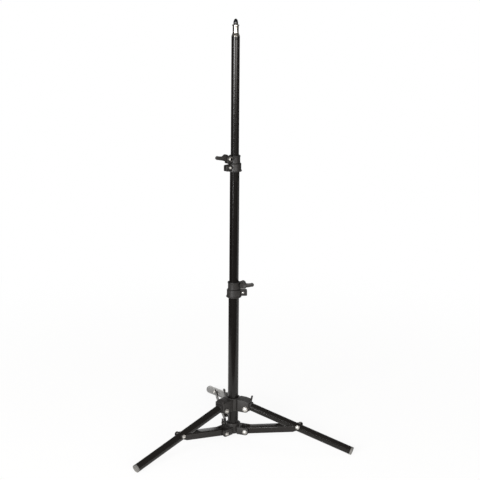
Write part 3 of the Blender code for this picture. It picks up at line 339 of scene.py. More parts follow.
def plated(name, dark, light, roughness, ring_size):
    """Turned steel with a bright plating: cloudy from bath and handling, and crossed by the fine
    rings that the cutting tool left, which stretch each highlight along the turning."""
    made, tree, shader = surface(name, roughness, metallic=1.0)
    place = add(tree, "ShaderNodeTexCoord")
    cloud = clouded(tree, shader, place, dark, light, PLATING_CLOUD, detail=4.0)
    stretch = add(tree, "ShaderNodeMapping", {
        "Vector": place.outputs["UV"],
        "Scale": (per_metre(RING_LENGTH), per_metre(ring_size), 1.0)})
    rings = add(tree, "ShaderNodeTexNoise", {
        "Vector": stretch.outputs["Vector"], "Scale": 1.0, "Detail": 2.0})
    worn = add(tree, "ShaderNodeMapRange", {
        "Value": cloud.outputs["Fac"], "From Min": 0.35, "From Max": 0.7,
        "To Min": roughness, "To Max": roughness + 0.12})
    textured(tree, shader, worn, rings, 0.2, RING_DEPTH)
    return made


def screw_thread(start, pitch, depth):
    """Shape for turned(): above start the radius drops between ridges that climb one pitch a
    turn, by the distance of (along / pitch - angle / full turn) from its nearest whole number."""
    def cut(radius, along, angle):
        phase = ((along - start) / pitch - angle / (2 * np.pi)) % 1
        flank = np.clip(2.6 * np.abs(phase - 0.5) - 0.15, 0, 1)
        return np.where(along > start, radius - depth * flank, radius)
    return cut


def threaded_end(radius, rows, run_out, tip):
    """Profile of a threaded end at heights (rows): the whole radius, which falls evenly over the
    run-out to its share at the tip."""
    whole = np.clip((rows[-1] - rows) / run_out, 0, 1)
    return np.column_stack([radius * (tip + (1 - tip) * whole), rows])


def column_point(turn, height):
    """Place on the column at a height, with x pointing out at that turn about Z."""
    return column @ Matrix.Rotation(turn, 4, "Z") @ Matrix.Translation((0, 0, height))


bright_plate = plated("bright_nickel_on_turned_steel", "#B9B2A8", "#DAD7D1", 0.14, 0.5 * MM)
plug_low, stud_tip = heights("spigot")
tube_top = heights("top_tube")[1]
spigot_top = stud_tip - STUD_LENGTH
seat = tube_top + GAP
plug = TOP_DIAMETER / 2 - TUBE_WALL - GAP
shoulder = TOP_DIAMETER / 2 - SPIGOT_INSET
neck = SPIGOT_NECK_DIAMETER / 2
rim = SPIGOT_RIM_DIAMETER / 2
stud = STUD_DIAMETER / 2
relief = SEAT_RELIEF_DIAMETER / 2
thread_start = spigot_top + STUD_PLAIN
body_profile = outline(
    (0, plug_low, 0), (plug, plug_low, 0.8 * MM), (plug, seat, 0), (shoulder, seat, 0.15 * MM),
    (shoulder, seat + SPIGOT_STEP, 0.3 * MM), (neck, seat + SPIGOT_CONE, CONE_HOLLOW),
    (neck, spigot_top - SPIGOT_RIM, 0.4 * MM), (rim, spigot_top - SPIGOT_RIM + 0.4 * MM, 0.4 * MM),
    (rim, spigot_top, 0.7 * MM), (relief, spigot_top, 0.1 * MM), (relief, spigot_top - GAP, 0),
    (stud, spigot_top - GAP, 0.2 * MM), (stud, thread_start, 0))
stud_rows = np.linspace(thread_start, stud_tip, int(12 * STUD_LENGTH / STUD_PITCH))[1:]
stud_profile = threaded_end(stud, stud_rows, STUD_RUN_OUT, STUD_TIP_SHARE)
spigot = turned("spigot", np.vstack([body_profile, stud_profile]), around=72,
                shape=screw_thread(thread_start, STUD_PITCH, STUD_THREAD_DEPTH))
show("plated_spigot", spigot, column, bright_plate, "top_tube", "spigot", "spigot")

rivet_black = gloss_enamel("black_oxide_on_rivet", "#141312", "#201E1D", 0.35)
rivet_low, rivet_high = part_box("spigot_rivet")
head = RIVET_HEAD_DIAMETER / 2
shank = RIVET_SHANK_DIAMETER / 2
face = TOP_DIAMETER / 2 + GAP / 2
bow = np.radians(np.linspace(0, 90, 9))
rivet_profile = np.vstack([
    [(shank, face - RIVET_SHANK), (shank, face), (head, face)],
    np.column_stack([head * np.cos(bow), face + RIVET_HEAD_HEIGHT * (0.3 + 0.7 * np.sin(bow))])])
rivet = turned("rivet", rivet_profile, around=32)
rivet_place = column_point(RIVET_TURN, (rivet_low.z + rivet_high.z) / 2)
show("black_rivet", rivet, rivet_place @ Matrix.Rotation(np.pi / 2, 4, "Y"), rivet_black,
     "top_tube", "rivet", "spigot_rivet")

# Thread cap
# A pointed cap dipped in black vinyl, pushed over the stud to keep its thread clean. It is soft
# and shiny, with a plain round mouth.

CAP_DIAMETER = 10.6 * MM
CAP_BORE = 6.8 * MM
CAP_STRAIGHT_SHARE = 0.22
CAP_SWEEP = 88
VINYL_WAVE = 5 * MM
VINYL_WAVE_DEPTH = 0.08 * MM


def dipped_vinyl(name, colour):
    """Dip-moulded vinyl: a wet-looking gloss over slow, rounded waves, with no grain."""
    made, tree, shader = surface(name, 0.22)
    place = add(tree, "ShaderNodeTexCoord")
    waves = add(tree, "ShaderNodeTexNoise", {
        "Vector": place.outputs["Object"], "Scale": per_metre(VINYL_WAVE), "Detail": 1.0})
    shader.inputs["Base Color"].default_value = linear(colour)
    dulled = add(tree, "ShaderNodeMapRange", {
        "Value": waves.outputs["Fac"], "To Min": 0.16, "To Max": 0.34})
    textured(tree, shader, dulled, waves, 0.2, VINYL_WAVE_DEPTH)
    return made


vinyl = dipped_vinyl("dipped_black_vinyl", "#141416")
cap_low, cap_tip = heights("thread_cap")
cap_length = cap_tip - cap_low
cap_radius = CAP_DIAMETER / 2
cap_bore = CAP_BORE / 2
rise = np.radians(np.linspace(0, CAP_SWEEP, 28))
ogive = np.column_stack([cap_radius * np.cos(rise), cap_low + cap_length * (
    CAP_STRAIGHT_SHARE + (1 - CAP_STRAIGHT_SHARE) * np.sin(rise))])
mouth = outline(
    (0, stud_tip + GAP, 0), (cap_bore, stud_tip + GAP, 0), (cap_bore, cap_low, 0.3 * MM),
    (cap_radius, cap_low, 0.5 * MM), (cap_radius, ogive[0, 1], 0))
cap = turned("cap", np.vstack([mouth[:-1], ogive]), around=64)
show("vinyl_thread_cap", cap, column, vinyl, "thread_cap", "cap", "thread_cap")

# Tube clamps
# Each is one moulding in glass-filled nylon: a sleeve that a screw fixes to the lower tube, and
# above it a ring, split down one side, that the lever's bolt draws shut round the upper tube.

CLAMP_HEIGHT = 36 * MM
SLEEVE_DEPTH = 18 * MM
SLEEVE_WALL = 4.0 * MM
RING_WALL = 3.0 * MM
CLAMP_RIM = 1.5 * MM
CLAMP_RIM_HEIGHT = 2.2 * MM
TOP_BEAD = 0.8 * MM
TOP_BEAD_HEIGHT = 2.0 * MM
RING_FOOT = 2.0 * MM
LINER_WALL = 0.9 * MM
LINER_LIP = 0.8 * MM
CLAMP_SLIT = 2.4 * MM
CROSS_SLIT = 1.2 * MM
CROSS_SLIT_RISE = 0.6 * MM
EAR_HALF = 5.5 * MM
EAR_RADIUS = 7.0 * MM
EAR_CORNER = 3.0 * MM
EAR_ABOVE_SLIT = 0.6 * MM
EAR_EDGE = 0.7 * MM
BOLT_OFFSET = 7.4 * MM
BOLT_HEIGHT = 31.5 * MM
CLAMP_BOLT = 6.0 * MM
LUG_LENGTH = 14.5 * MM
LUG_LOW = 2.8 * MM
LUG_HIGH = 17.0 * MM
LUG_CORNER = 2.2 * MM
SCREW_OFFSET = 5.0 * MM
SCREW_HEIGHT = 10.8 * MM
FIXING_SCREW = 4.0 * MM
KNOB_DIAMETER = 16.0 * MM
ALONG_Y = Matrix.Rotation(-np.pi / 2, 4, "X")


def arc(x, z, radius, start, end, steps=16):
    """Points at a radius from (x, z), at even angles from start to end degrees, +x to +z."""
    angle = np.radians(np.linspace(start, end, steps + 1))
    return np.column_stack([x + radius * np.cos(angle), z + radius * np.sin(angle)])


def slab(name, shape, low, high, edge=0.0):
    """Plate: the outline (x, z) is carried from y = low to y = high. Within edge of a face it is
    drawn in by edge * (1 - sin t) at a depth of edge * (1 - cos t), so its rim is rounded."""
    turn = np.linspace(0, np.pi / 2, 4 if edge else 1)
    inset = edge * (1 - np.sin(turn))
    depth = edge * (1 - np.cos(turn))
    level = np.concatenate([low + depth, high - depth[::-1]])
    inward = np.concatenate([inset, inset[::-1]])
    side = np.roll(shape, -1, 0) - shape
    side /= np.linalg.norm(side, axis=1, keepdims=True)
    normal = np.column_stack([-side[:, 1], side[:, 0]])
    previous = np.roll(normal, 1, 0)
    mitre = (normal + previous) / (1 + np.sum(normal * previous, 1, keepdims=True))
    flat = shape[None] + inward[:, None, None] * mitre[None]
    y = np.repeat(level[:, None], len(shape), 1)
    return skin(name, np.stack([flat[..., 0], y, flat[..., 1]], -1), ends="face")


def rod(diameter, low, high, x=0.0, z=0.0):
    """Plain round bar through (x, z), from y = low to y = high."""
    mesh = turned("rod", [(diameter / 2, low), (diameter / 2, high)], around=32)
    mesh.transform(Matrix.Translation((x, 0, z)) @ ALONG_Y)
    return mesh


def bolt_hole(diameter, half_width, x=0.0, z=0.0):
    """Cutter for the clearance hole of a bolt, past both faces of what it goes through."""
    return rod(diameter + 2 * GAP, -2 * half_width, 2 * half_width, x, z)


def rectangle(low_x, low_z, high_x, high_z):
    """Corners of a rectangle, counter-clockwise."""
    return np.array([(low_x, low_z), (high_x, low_z), (high_x, high_z), (low_x, high_z)])


def fuse(name, body, *steps):
    """One mesh from a body and steps of (operation, mesh), joined or cut by exact Booleans."""
    shapes = [body] + [mesh for _, mesh in steps]
    things = [object_of(name + "_part", mesh) for mesh in shapes]
    for (operation, _), tool in zip(steps, things[1:]):
        change = things[0].modifiers.new(operation, "BOOLEAN")
        change.operation = operation
        change.solver = "EXACT"
        change.object = tool
    view = bpy.context.evaluated_depsgraph_get()
    mesh = bpy.data.meshes.new_from_object(things[0].evaluated_get(view))
    for thing in things:
        bpy.data.objects.remove(thing)
    mesh.name = name
    return mesh


def clamp_of(prefix, lower, upper, body, knob_body):
    """Sizes and place of one clamp, from the tubes that it joins and its lever's joint."""
    joint = next(joint for joint in frame["joints"] if joint["name"] == prefix + "_lever_turn")
    turn = np.arctan2(joint["axis"][0], -joint["axis"][1])
    clamp = SimpleNamespace(prefix=prefix, body=body, knob_body=knob_body)
    clamp.place = column_point(turn, heights(prefix + "_clamp")[0])
    clamp.sleeve_bore = lower / 2 + GAP
    clamp.sleeve = lower / 2 + SLEEVE_WALL
    clamp.liner_bore = upper / 2 + GAP
    clamp.ring_bore = clamp.liner_bore + LINER_WALL + GAP
    clamp.ring = upper / 2 + RING_WALL
    clamp.bolt_reach = clamp.ring + BOLT_OFFSET
    clamp.screw_reach = clamp.sleeve + SCREW_OFFSET
    clamp.lug_reach = clamp.sleeve + LUG_LENGTH
    clamp.bolt_place = clamp.place @ Matrix.Translation((clamp.bolt_reach, 0, BOLT_HEIGHT))
    clamp.screw_place = clamp.place @ Matrix.Translation((clamp.screw_reach, 0, SCREW_HEIGHT))
    knob_edge = clamp.bolt_reach - KNOB_DIAMETER / 2
    past_ring = np.sqrt(max(0.0, (clamp.ring + GAP) ** 2 - knob_edge ** 2))
    clamp.knob_rest = max(EAR_HALF, past_ring) + GAP
    return clamp


nylon = moulded("moulded_black_glass_nylon", "#262423", "#32302F", 0.44, GRAIN, 0.05 * MM)
clamps = [clamp_of("lower", BASE_DIAMETER, MIDDLE_DIAMETER, "root", "lower_knob"),
          clamp_of("upper", MIDDLE_DIAMETER, TOP_DIAMETER, "middle_tube", "upper_knob")]
for clamp in clamps:
    sleeve, ring = clamp.sleeve, clamp.ring
    collar = turned("collar", outline(
        (clamp.sleeve_bore, 0, 0.3 * MM), (sleeve + CLAMP_RIM, 0, 0.5 * MM),
        (sleeve + CLAMP_RIM, CLAMP_RIM_HEIGHT, 0.5 * MM),
        (sleeve, CLAMP_RIM_HEIGHT + 0.5 * MM, 0.5 * MM),
        (sleeve, SLEEVE_DEPTH - 0.5 * MM, 1.0 * MM),
        (ring, SLEEVE_DEPTH + RING_FOOT, 1.0 * MM),
        (ring, CLAMP_HEIGHT - TOP_BEAD_HEIGHT - 0.6 * MM, 0.6 * MM),
        (ring + TOP_BEAD, CLAMP_HEIGHT - TOP_BEAD_HEIGHT, 0.4 * MM),
        (ring + TOP_BEAD, CLAMP_HEIGHT, 0.5 * MM), (clamp.ring_bore, CLAMP_HEIGHT, 0.3 * MM),
        (clamp.ring_bore, SLEEVE_DEPTH, 0), (clamp.sleeve_bore, SLEEVE_DEPTH, 0)),
        around=112, hollow=True)
    in_ring = (clamp.ring_bore + ring) / 2
    cross_low = SLEEVE_DEPTH + CROSS_SLIT_RISE
    ear_low = cross_low + CROSS_SLIT + EAR_ABOVE_SLIT
    ear = slab("ear", outline(
        (in_ring, ear_low, 0), (clamp.bolt_reach + EAR_RADIUS, ear_low, EAR_CORNER),
        arc(clamp.bolt_reach, BOLT_HEIGHT, EAR_RADIUS, 0, 90),
        (in_ring, CLAMP_HEIGHT - 0.6 * MM, 0)), -EAR_HALF, EAR_HALF, EAR_EDGE)
    in_sleeve = (clamp.sleeve_bore + sleeve) / 2
    lug = slab("lug", outline(
        (in_sleeve, LUG_LOW, 0), (clamp.lug_reach, LUG_LOW, LUG_CORNER),
        (clamp.lug_reach, LUG_HIGH, LUG_CORNER), (in_sleeve, LUG_HIGH, 0)),
        -EAR_HALF, EAR_HALF, EAR_EDGE)
    past = 1.3 * clamp.lug_reach
    slit = slab("slit", rectangle(0, -MM, past, 1.3 * CLAMP_HEIGHT),
                -CLAMP_SLIT / 2, CLAMP_SLIT / 2)
    cross = slab("cross", rectangle(-ring / 3, cross_low, past, cross_low + CROSS_SLIT),
                 -past, past)
    ear_hole = bolt_hole(CLAMP_BOLT, EAR_HALF, clamp.bolt_reach, BOLT_HEIGHT)
    lug_hole = bolt_hole(FIXING_SCREW, EAR_HALF, clamp.screw_reach, SCREW_HEIGHT)
    moulding = fuse("collar", collar, ("UNION", ear), ("UNION", lug), ("DIFFERENCE", slit),
                    ("DIFFERENCE", cross), ("DIFFERENCE", ear_hole), ("DIFFERENCE", lug_hole))
    node = clamp.prefix + "_clamp"
    show("moulded_" + node, moulding, clamp.place, nylon, clamp.body, "moulding", node)

# Clamp liners
# A thin split bush of black acetal inside each ring, which grips the sliding tube without
# scratching it. Its lip rests on the ring.

for clamp in clamps:
    inner = clamp.liner_bore
    outer = inner + LINER_WALL
    low = SLEEVE_DEPTH + 2 * GAP
    lip_seat = CLAMP_HEIGHT + GAP
    high = lip_seat + LINER_LIP
    bush = turned("bush", outline(
        (inner, low, 0.2 * MM), (outer, low, 0.2 * MM), (outer, lip_seat, 0),
        (outer + LINER_LIP, lip_seat, 0.2 * MM), (outer + LINER_LIP, high, 0.5 * MM),
        (inner, high, 0.3 * MM)), hollow=True)
    slit = slab("slit", rectangle(0, low - MM, 2 * outer, high + MM),
                -CLAMP_SLIT / 2, CLAMP_SLIT / 2)
    node = clamp.prefix + "_clamp_liner"
    show("acetal_" + node, fuse("bush", bush, ("DIFFERENCE", slit)), clamp.place, acetal,
         clamp.body, "liner", node)

# Lever knobs
# A toothed nylon knob with one finger lever, moulded round the head of the clamp bolt. Its neck
# runs on the ear, and the lever leans away from the collar so that a finger gets behind it.

KNOB_NECK = 12.0 * MM
KNOB_THICKNESS = 8.8 * MM
KNOB_TEETH = 18
TOOTH_HEIGHT = 0.9 * MM
KNOB_DISH = 0.9 * MM
KNOB_BORE_DEPTH = 5.5 * MM
LEVER_LENGTH = 24.7 * MM
LEVER_NECK = 6.6 * MM
LEVER_TIP = 8.8 * MM
LEVER_WAIST_X = 0.62 * KNOB_DIAMETER
LEVER_WAIST_ROUND = 6 * MM
LEVER_UNDERSIDE = 0.42 * KNOB_DIAMETER
LEVER_THICKNESS = 4.8 * MM
LEVER_EDGE = 1.2 * MM
LEVER_INSET = 0.7 * MM
LEVER_FLARE = 0.24
LEVER_FLARE_START = 0.3 * KNOB_DIAMETER
LEVER_RISE = np.radians(4.5)


def teeth(radius, along, angle):
    """Shape for turned(): near the rim the radius drops by a tooth's height times one minus a
    cosine wave, which goes once round for each tooth and is cut off at 0 and 1."""
    wave = np.clip(0.5 + 0.8 * np.cos(KNOB_TEETH * angle), 0, 1)
    outside = np.clip((radius - 0.38 * KNOB_DIAMETER) / (0.08 * KNOB_DIAMETER), 0, 1)
    return radius - TOOTH_HEIGHT * (1 - wave) * outside


def reshape(mesh, change):
    """Moves a mesh's points in place: change is given them as (n, 3) and returns them so."""
    points = np.empty(3 * len(mesh.vertices), np.float32)
    mesh.vertices.foreach_get("co", points)
    mesh.vertices.foreach_set("co", change(points.reshape(-1, 3)).ravel())


def flare(points):
    """y falls by the flare times the distance run out past the flare's start."""
    points[:, 1] -= LEVER_FLARE * np.maximum(0, points[:, 0] - LEVER_FLARE_START)
    return points


def finger_lever(low):
    """Plate with a straight underside, a waist on top and a round tip, flared and then turned up
    by the lever's rise."""
    tip = LEVER_TIP / 2
    shape = outline((0, -0.3 * KNOB_DIAMETER, 0), (0.2 * KNOB_DIAMETER, -LEVER_UNDERSIDE, MM),
                    arc(LEVER_LENGTH - tip, 0, tip, -75, 125, 24),
                    (LEVER_WAIST_X, LEVER_NECK / 2, LEVER_WAIST_ROUND), (0, 0.6 * LEVER_TIP, 0))
    mesh = slab("lever", shape, low, low + LEVER_THICKNESS, LEVER_EDGE)
    reshape(mesh, flare)
    mesh.transform(Matrix.Rotation(-LEVER_RISE, 4, "Y"))
    return mesh


for clamp in clamps:
    face = -clamp.knob_rest
    back = face - KNOB_THICKNESS
    radius = KNOB_DIAMETER / 2
    disc = turned("disc", outline(
        (0, back + KNOB_DISH, 0), (0.45 * radius, back + KNOB_DISH, 2 * MM),
        (0.72 * radius, back, 1.5 * MM), (radius, back, 1.2 * MM), (radius, face, 0.7 * MM),
        (0, face, 0)), around=288, shape=teeth)
    disc.transform(ALONG_Y)
    knob_neck = rod(KNOB_NECK, face - KNOB_THICKNESS / 4, -EAR_HALF - GAP)
    lever = finger_lever(back + LEVER_INSET)
    bore = rod(CLAMP_BOLT + 2 * GAP, face - KNOB_BORE_DEPTH - GAP, KNOB_DIAMETER)
    knob = fuse("knob", disc, ("UNION", knob_neck), ("UNION", lever), ("DIFFERENCE", bore))
    node = clamp.prefix + "_knob"
    show("moulded_" + node, knob, clamp.bolt_place, nylon, clamp.knob_body, "moulding", node)

# Fasteners
# Bright zinc-plated steel: low domed heads on one side of each fork, and plain hexagon nuts on
# the other, past which the thread shows by a turn or so. The clamp bolts are blackened.

NUT_WIDTH_SHARE = 1.6
NUT_HEIGHT_SHARE = 0.8
NUT_FACE_SHARE = 0.46
NUT_BORE_GAP = 0.1 * MM
NUT_MOUTH = 0.5 * MM
BOLT_END = 1.5 * MM
BOLT_RUN_OUT = 0.7 * MM
BOLT_TIP_SHARE = 0.8
BOLT_PITCH_SHARE = 0.16
CLAMP_BOLT_PITCH = 0.8 * MM
DOME_SHARE = 0.93
DOME_RISE = 0.72
FIXING_HEAD_DIAMETER = 5.6 * MM
FIXING_HEAD_HEIGHT = 2.0 * MM


def hexagon(flats):
    """Shape for turned(): the radius is held inside a hexagon, flats / 2 / cos(angle from the
    middle of the nearest side)."""
    def trim(radius, along, angle):
        from_middle = (angle + np.pi / 6) % (np.pi / 3) - np.pi / 6
        return np.minimum(radius, flats / 2 / np.cos(from_middle))
    return trim


def domed_bolt(diameter, head_diameter, head_height, half_grip):
    """Bolt along y, head on the -y side: a dome on a thin flange, and a thread past the nut."""
    head, shank = head_diameter / 2, diameter / 2
    under = -half_grip - GAP
    end = half_grip + GAP + NUT_HEIGHT_SHARE * diameter + BOLT_END
    bow = np.radians(np.linspace(2, 90, 14))
    top = np.column_stack([DOME_SHARE * head * np.sin(bow),
                           under - head_height * (1 - DOME_RISE + DOME_RISE * np.cos(bow))])
    flange = outline((DOME_SHARE * head, top[-1, 1], 0), (head, top[-1, 1] + 0.1 * MM, 0.2 * MM),
                     (head, under, 0.25 * MM), (shank, under, 0), (shank, half_grip, 0))
    pitch = BOLT_PITCH_SHARE * diameter
    rows = np.linspace(half_grip, end, int(10 * (end - half_grip) / pitch))[1:]
    tail = threaded_end(shank, rows, BOLT_RUN_OUT, BOLT_TIP_SHARE)
    mesh = turned("bolt", np.vstack([top, flange[1:], tail]), around=40,
                  shape=screw_thread(half_grip, pitch, 0.5 * pitch))
    mesh.transform(ALONG_Y)
    return mesh


def hexagon_nut(diameter, half_grip):
    """Nut along y on the +y side: a hexagon whose corners a 30 degree cone takes off."""
    flats = NUT_WIDTH_SHARE * diameter
    corner = flats / np.sqrt(3)
    low = half_grip + GAP
    high = low + NUT_HEIGHT_SHARE * diameter
    bore = diameter / 2 + NUT_BORE_GAP
    face = NUT_FACE_SHARE * flats
    slope = (corner - face) * np.tan(np.radians(30))
    profile = [(bore, low), (face, low), (corner, low + slope), (corner, high - slope),
               (face, high), (bore + NUT_MOUTH, high), (bore, high - NUT_MOUTH)]
    mesh = turned("nut", profile, around=72, hollow=True, shape=hexagon(flats))
    mesh.transform(ALONG_Y)
    return mesh


zinc = plated("bright_zinc_on_steel", "#DAD8D3", "#F0EEEA", 0.46, 0.4 * MM)
blackened = plated("blackened_steel", "#1D1C1C", "#2A2929", 0.40, 0.4 * MM)
for clamp in clamps:
    start = -clamp.knob_rest - KNOB_BORE_DEPTH
    end = EAR_HALF + GAP + NUT_HEIGHT_SHARE * CLAMP_BOLT + BOLT_END
    tail = threaded_end(CLAMP_BOLT / 2, np.linspace(EAR_HALF, end, 80), BOLT_RUN_OUT,
                        BOLT_TIP_SHARE)
    bolt = turned("clamp_bolt", np.vstack([[(CLAMP_BOLT / 2, start)], tail]), around=40,
                  shape=screw_thread(EAR_HALF, CLAMP_BOLT_PITCH, CLAMP_BOLT_PITCH / 2))
    bolt.transform(ALONG_Y)
    node = clamp.prefix + "_clamp_bolt"
    show("black_" + node, bolt, clamp.bolt_place, blackened, clamp.knob_body, "fastener", node)
    screw = domed_bolt(FIXING_SCREW, FIXING_HEAD_DIAMETER, FIXING_HEAD_HEIGHT, EAR_HALF)
    for part, mesh, place in (
            ("_clamp_nut", hexagon_nut(CLAMP_BOLT, EAR_HALF), clamp.bolt_place),
            ("_fixing_screw", screw, clamp.screw_place),
            ("_fixing_nut", hexagon_nut(FIXING_SCREW, EAR_HALF), clamp.screw_place)):
        node = clamp.prefix + part
        show("plated_" + node, mesh, place, zinc, clamp.body, "fastener", node)

# Pivot bolts
# Three on each leg: through the hub, through the brace and leg, and through the lower collar.
# They are zinc-plated steel like the other fasteners, and each turns in plain clearance holes.

HUB_BOLT = SimpleNamespace(diameter=6.0 * MM, head=13.0 * MM, height=4.2 * MM)
LEG_BOLT = SimpleNamespace(diameter=5.0 * MM, head=10.0 * MM, height=3.6 * MM)
COLLAR_BOLT = SimpleNamespace(diameter=5.0 * MM, head=11.2 * MM, height=3.6 * MM)
LEG_DIAMETER = 19 * MM
LEG_SLOPE = np.radians(17.4)
LEG_ABOVE_PIVOT = 6.3 * MM
LEG_SIDE_GAP = 0.5 * MM
SHEET = 1.5 * MM
HUB_LUG = 4.5 * MM
COLLAR_LUG = 4.0 * MM
LEG_HALF_SPACE = LEG_DIAMETER / 2 + LEG_SIDE_GAP
BRACE_HALF = LEG_HALF_SPACE + SHEET
HUB_HALF = LEG_HALF_SPACE + HUB_LUG
COLLAR_SLOT_HALF = BRACE_HALF + GAP
COLLAR_HALF = COLLAR_SLOT_HALF + COLLAR_LUG
LEG_TURNS = np.radians([90, 210, 330])

anchors = {joint["name"]: Vector(joint["pos_m"]) for joint in frame["joints"] if "pos_m" in joint}
centre_y = column.translation.y
pivot_radius = anchors["fold"].y - centre_y
collar_pivot = (pivot_radius, anchors["fold"].z)
hub_pivot = (pivot_radius, anchors["hub_level"].z)
leg_pivot = (anchors["leg_1_fold"].y - centre_y, anchors["leg_1_fold"].z)


def leg_place(index, radial, height, slope=0.0):
    """Place in a leg's frame: x points away from the column and down by the slope, y across."""
    return column_point(LEG_TURNS[index], height) @ Matrix.Translation((radial, 0, 0)) \
        @ Matrix.Rotation(slope, 4, "Y")


for index in range(3):
    number = str(index + 1)
    for part, size, pivot, half, slope, body in (
            ("hub", HUB_BOLT, hub_pivot, HUB_HALF, 0.0, "hub"),
            ("leg", LEG_BOLT, leg_pivot, BRACE_HALF, LEG_SLOPE, "leg_" + number),
            ("collar", COLLAR_BOLT, collar_pivot, COLLAR_HALF, 0.0, "root")):
        place = leg_place(index, *pivot, slope)
        bolt = domed_bolt(size.diameter, size.head, size.height, half)
        name = part + "_bolt_" + number
        show("plated_" + name, bolt, place, zinc, body, "fastener", name)
        name = part + "_nut_" + number
        show("plated_" + name, hexagon_nut(size.diameter, half), place, zinc, body, "fastener",
             name)

# Hub
# The upper leg collar, moulded in one piece with a roofed fork for each leg. It slides on the
# base tube; a small tab on each fork is the finger grip that pushes it down.

HUB_SLIDE_GAP = 0.5 * MM
HUB_BORE = BASE_DIAMETER / 2 + HUB_SLIDE_GAP
HUB_WALL = 4.2 * MM
HUB_LUG_RADIUS = 8.5 * MM
HUB_PAST_PIVOT = 8.5 * MM
HUB_ROOF = 2.4 * MM
HUB_ABOVE_PIVOT = 23.0 * MM
ROOF_GAP = 1.0 * MM
HUB_TAB_HEIGHT = 9.0 * MM
HUB_TAB_WIDTH = 4.2 * MM
LEG_EYE_RADIUS = 7.5 * MM
EDGE = 0.8 * MM
TAB_EDGE = 0.5 * MM
TAB_THICKNESS_SHARE = 0.7

hub_low = hub_pivot[1] - HUB_LUG_RADIUS
hub_top = hub_pivot[1] + HUB_ABOVE_PIVOT
hub_ring = HUB_BORE + HUB_WALL
hub_reach = pivot_radius + HUB_PAST_PIVOT
roof_above = (LEG_ABOVE_PIVOT + LEG_DIAMETER / 2 + ROOF_GAP) / np.cos(LEG_SLOPE)


def roof(x):
    """Underside of the roof over a leg: parallel to the leg's upper side."""
    return hub_pivot[1] + roof_above - (x - pivot_radius) * np.tan(LEG_SLOPE)


def forks(shape, half, tab_shape, tab_sides, slot_shape, slot_half, hole):
    """Steps for fuse(): a fork and its tab are joined on for each leg, then their slots and bolt
    holes are cut. hole is a bolt's diameter and its pivot's height."""
    joins, cuts = [], []
    for turn in LEG_TURNS:
        fork = slab("fork", shape, -half, half, EDGE)
        tab = slab("tab", tab_shape, *tab_sides, TAB_EDGE)
        slot = slab("slot", slot_shape, -slot_half, slot_half)
        bore = bolt_hole(hole[0], half, pivot_radius, hole[1])
        for mesh in (fork, tab, slot, bore):
            mesh.transform(Matrix.Rotation(turn, 4, "Z"))
        joins += [("UNION", fork), ("UNION", tab)]
        cuts += [("DIFFERENCE", slot), ("DIFFERENCE", bore)]
    return joins + cuts


in_wall = (HUB_BORE + hub_ring) / 2
roof_start = pivot_radius - 0.7 * LEG_EYE_RADIUS
fork_shape = outline(
    (in_wall, hub_low + EDGE, 0), arc(pivot_radius, hub_pivot[1], HUB_LUG_RADIUS, -90, -20),
    (hub_reach, hub_pivot[1] + LEG_EYE_RADIUS / 3, 1.5 * MM),
    (hub_reach, roof(hub_reach) + HUB_ROOF, 1.6 * MM),
    (roof_start, roof(roof_start) + 0.8 * HUB_ROOF, 5 * MM), (in_wall, hub_top - EDGE, 0))
slot_start = pivot_radius - LEG_EYE_RADIUS - 2 * LEG_SIDE_GAP
slot_end = hub_reach + 4 * LEG_SIDE_GAP
slot_shape = np.array([
    (slot_start, hub_low - EDGE), (slot_end, hub_low - EDGE), (slot_end, roof(slot_end)),
    (pivot_radius, roof(pivot_radius)), (slot_start, hub_pivot[1] + LEG_DIAMETER / 2)])
tab_x = hub_reach - HUB_TAB_WIDTH / 2
tab_low = roof(hub_reach) - HUB_ROOF
tab_high = roof(hub_reach) + HUB_ROOF + HUB_TAB_HEIGHT
lean = HUB_TAB_HEIGHT * np.tan(LEG_SLOPE)
tab_half = HUB_TAB_WIDTH / 2
tab_shape = outline(
    (tab_x - tab_half, tab_low, 0), (tab_x + tab_half, tab_low, 0),
    (tab_x + tab_half + lean, tab_high, 1.2 * MM), (tab_x - tab_half + lean, tab_high, 1.2 * MM))
tab_side = HUB_HALF - EDGE / 2
hub_forks = forks(fork_shape, HUB_HALF, tab_shape,
                  (tab_side - TAB_THICKNESS_SHARE * HUB_LUG, tab_side), slot_shape,
                  LEG_HALF_SPACE, (HUB_BOLT.diameter, hub_pivot[1]))
core = turned("core", [(HUB_BORE, 0), (HUB_BORE, 2 * hub_top)])
sleeve = turned("sleeve", outline(
    (HUB_BORE, hub_low, 0.5 * MM), (hub_ring, hub_low, EDGE), (hub_ring, hub_top, EDGE),
    (HUB_BORE, hub_top, 0.5 * MM)), hollow=True)
hub = fuse("hub", sleeve, *hub_forks, ("DIFFERENCE", core))
show("moulded_hub", hub, column, nylon, "hub", "moulding", "hub")

# Lower collar
# Moulded like the hub but fixed to the foot of the base tube by a set screw, with an open fork
# for each brace and one small tab above each.

COLLAR_BORE = BASE_DIAMETER / 2 + GAP
COLLAR_WALL = 3.5 * MM
COLLAR_LUG_RADIUS = 8.5 * MM
COLLAR_LUG_TOP = 8.8 * MM
COLLAR_TAB_HEIGHT = 9.5 * MM
COLLAR_TAB_WIDTH = 3.0 * MM
COLLAR_TAB_OFFSET = 5.5 * MM
COLLAR_ABOVE_PIVOT = 16.4 * MM
BRACE_HEIGHT = 15.5 * MM
BRACE_WEB_START = 11.0 * MM

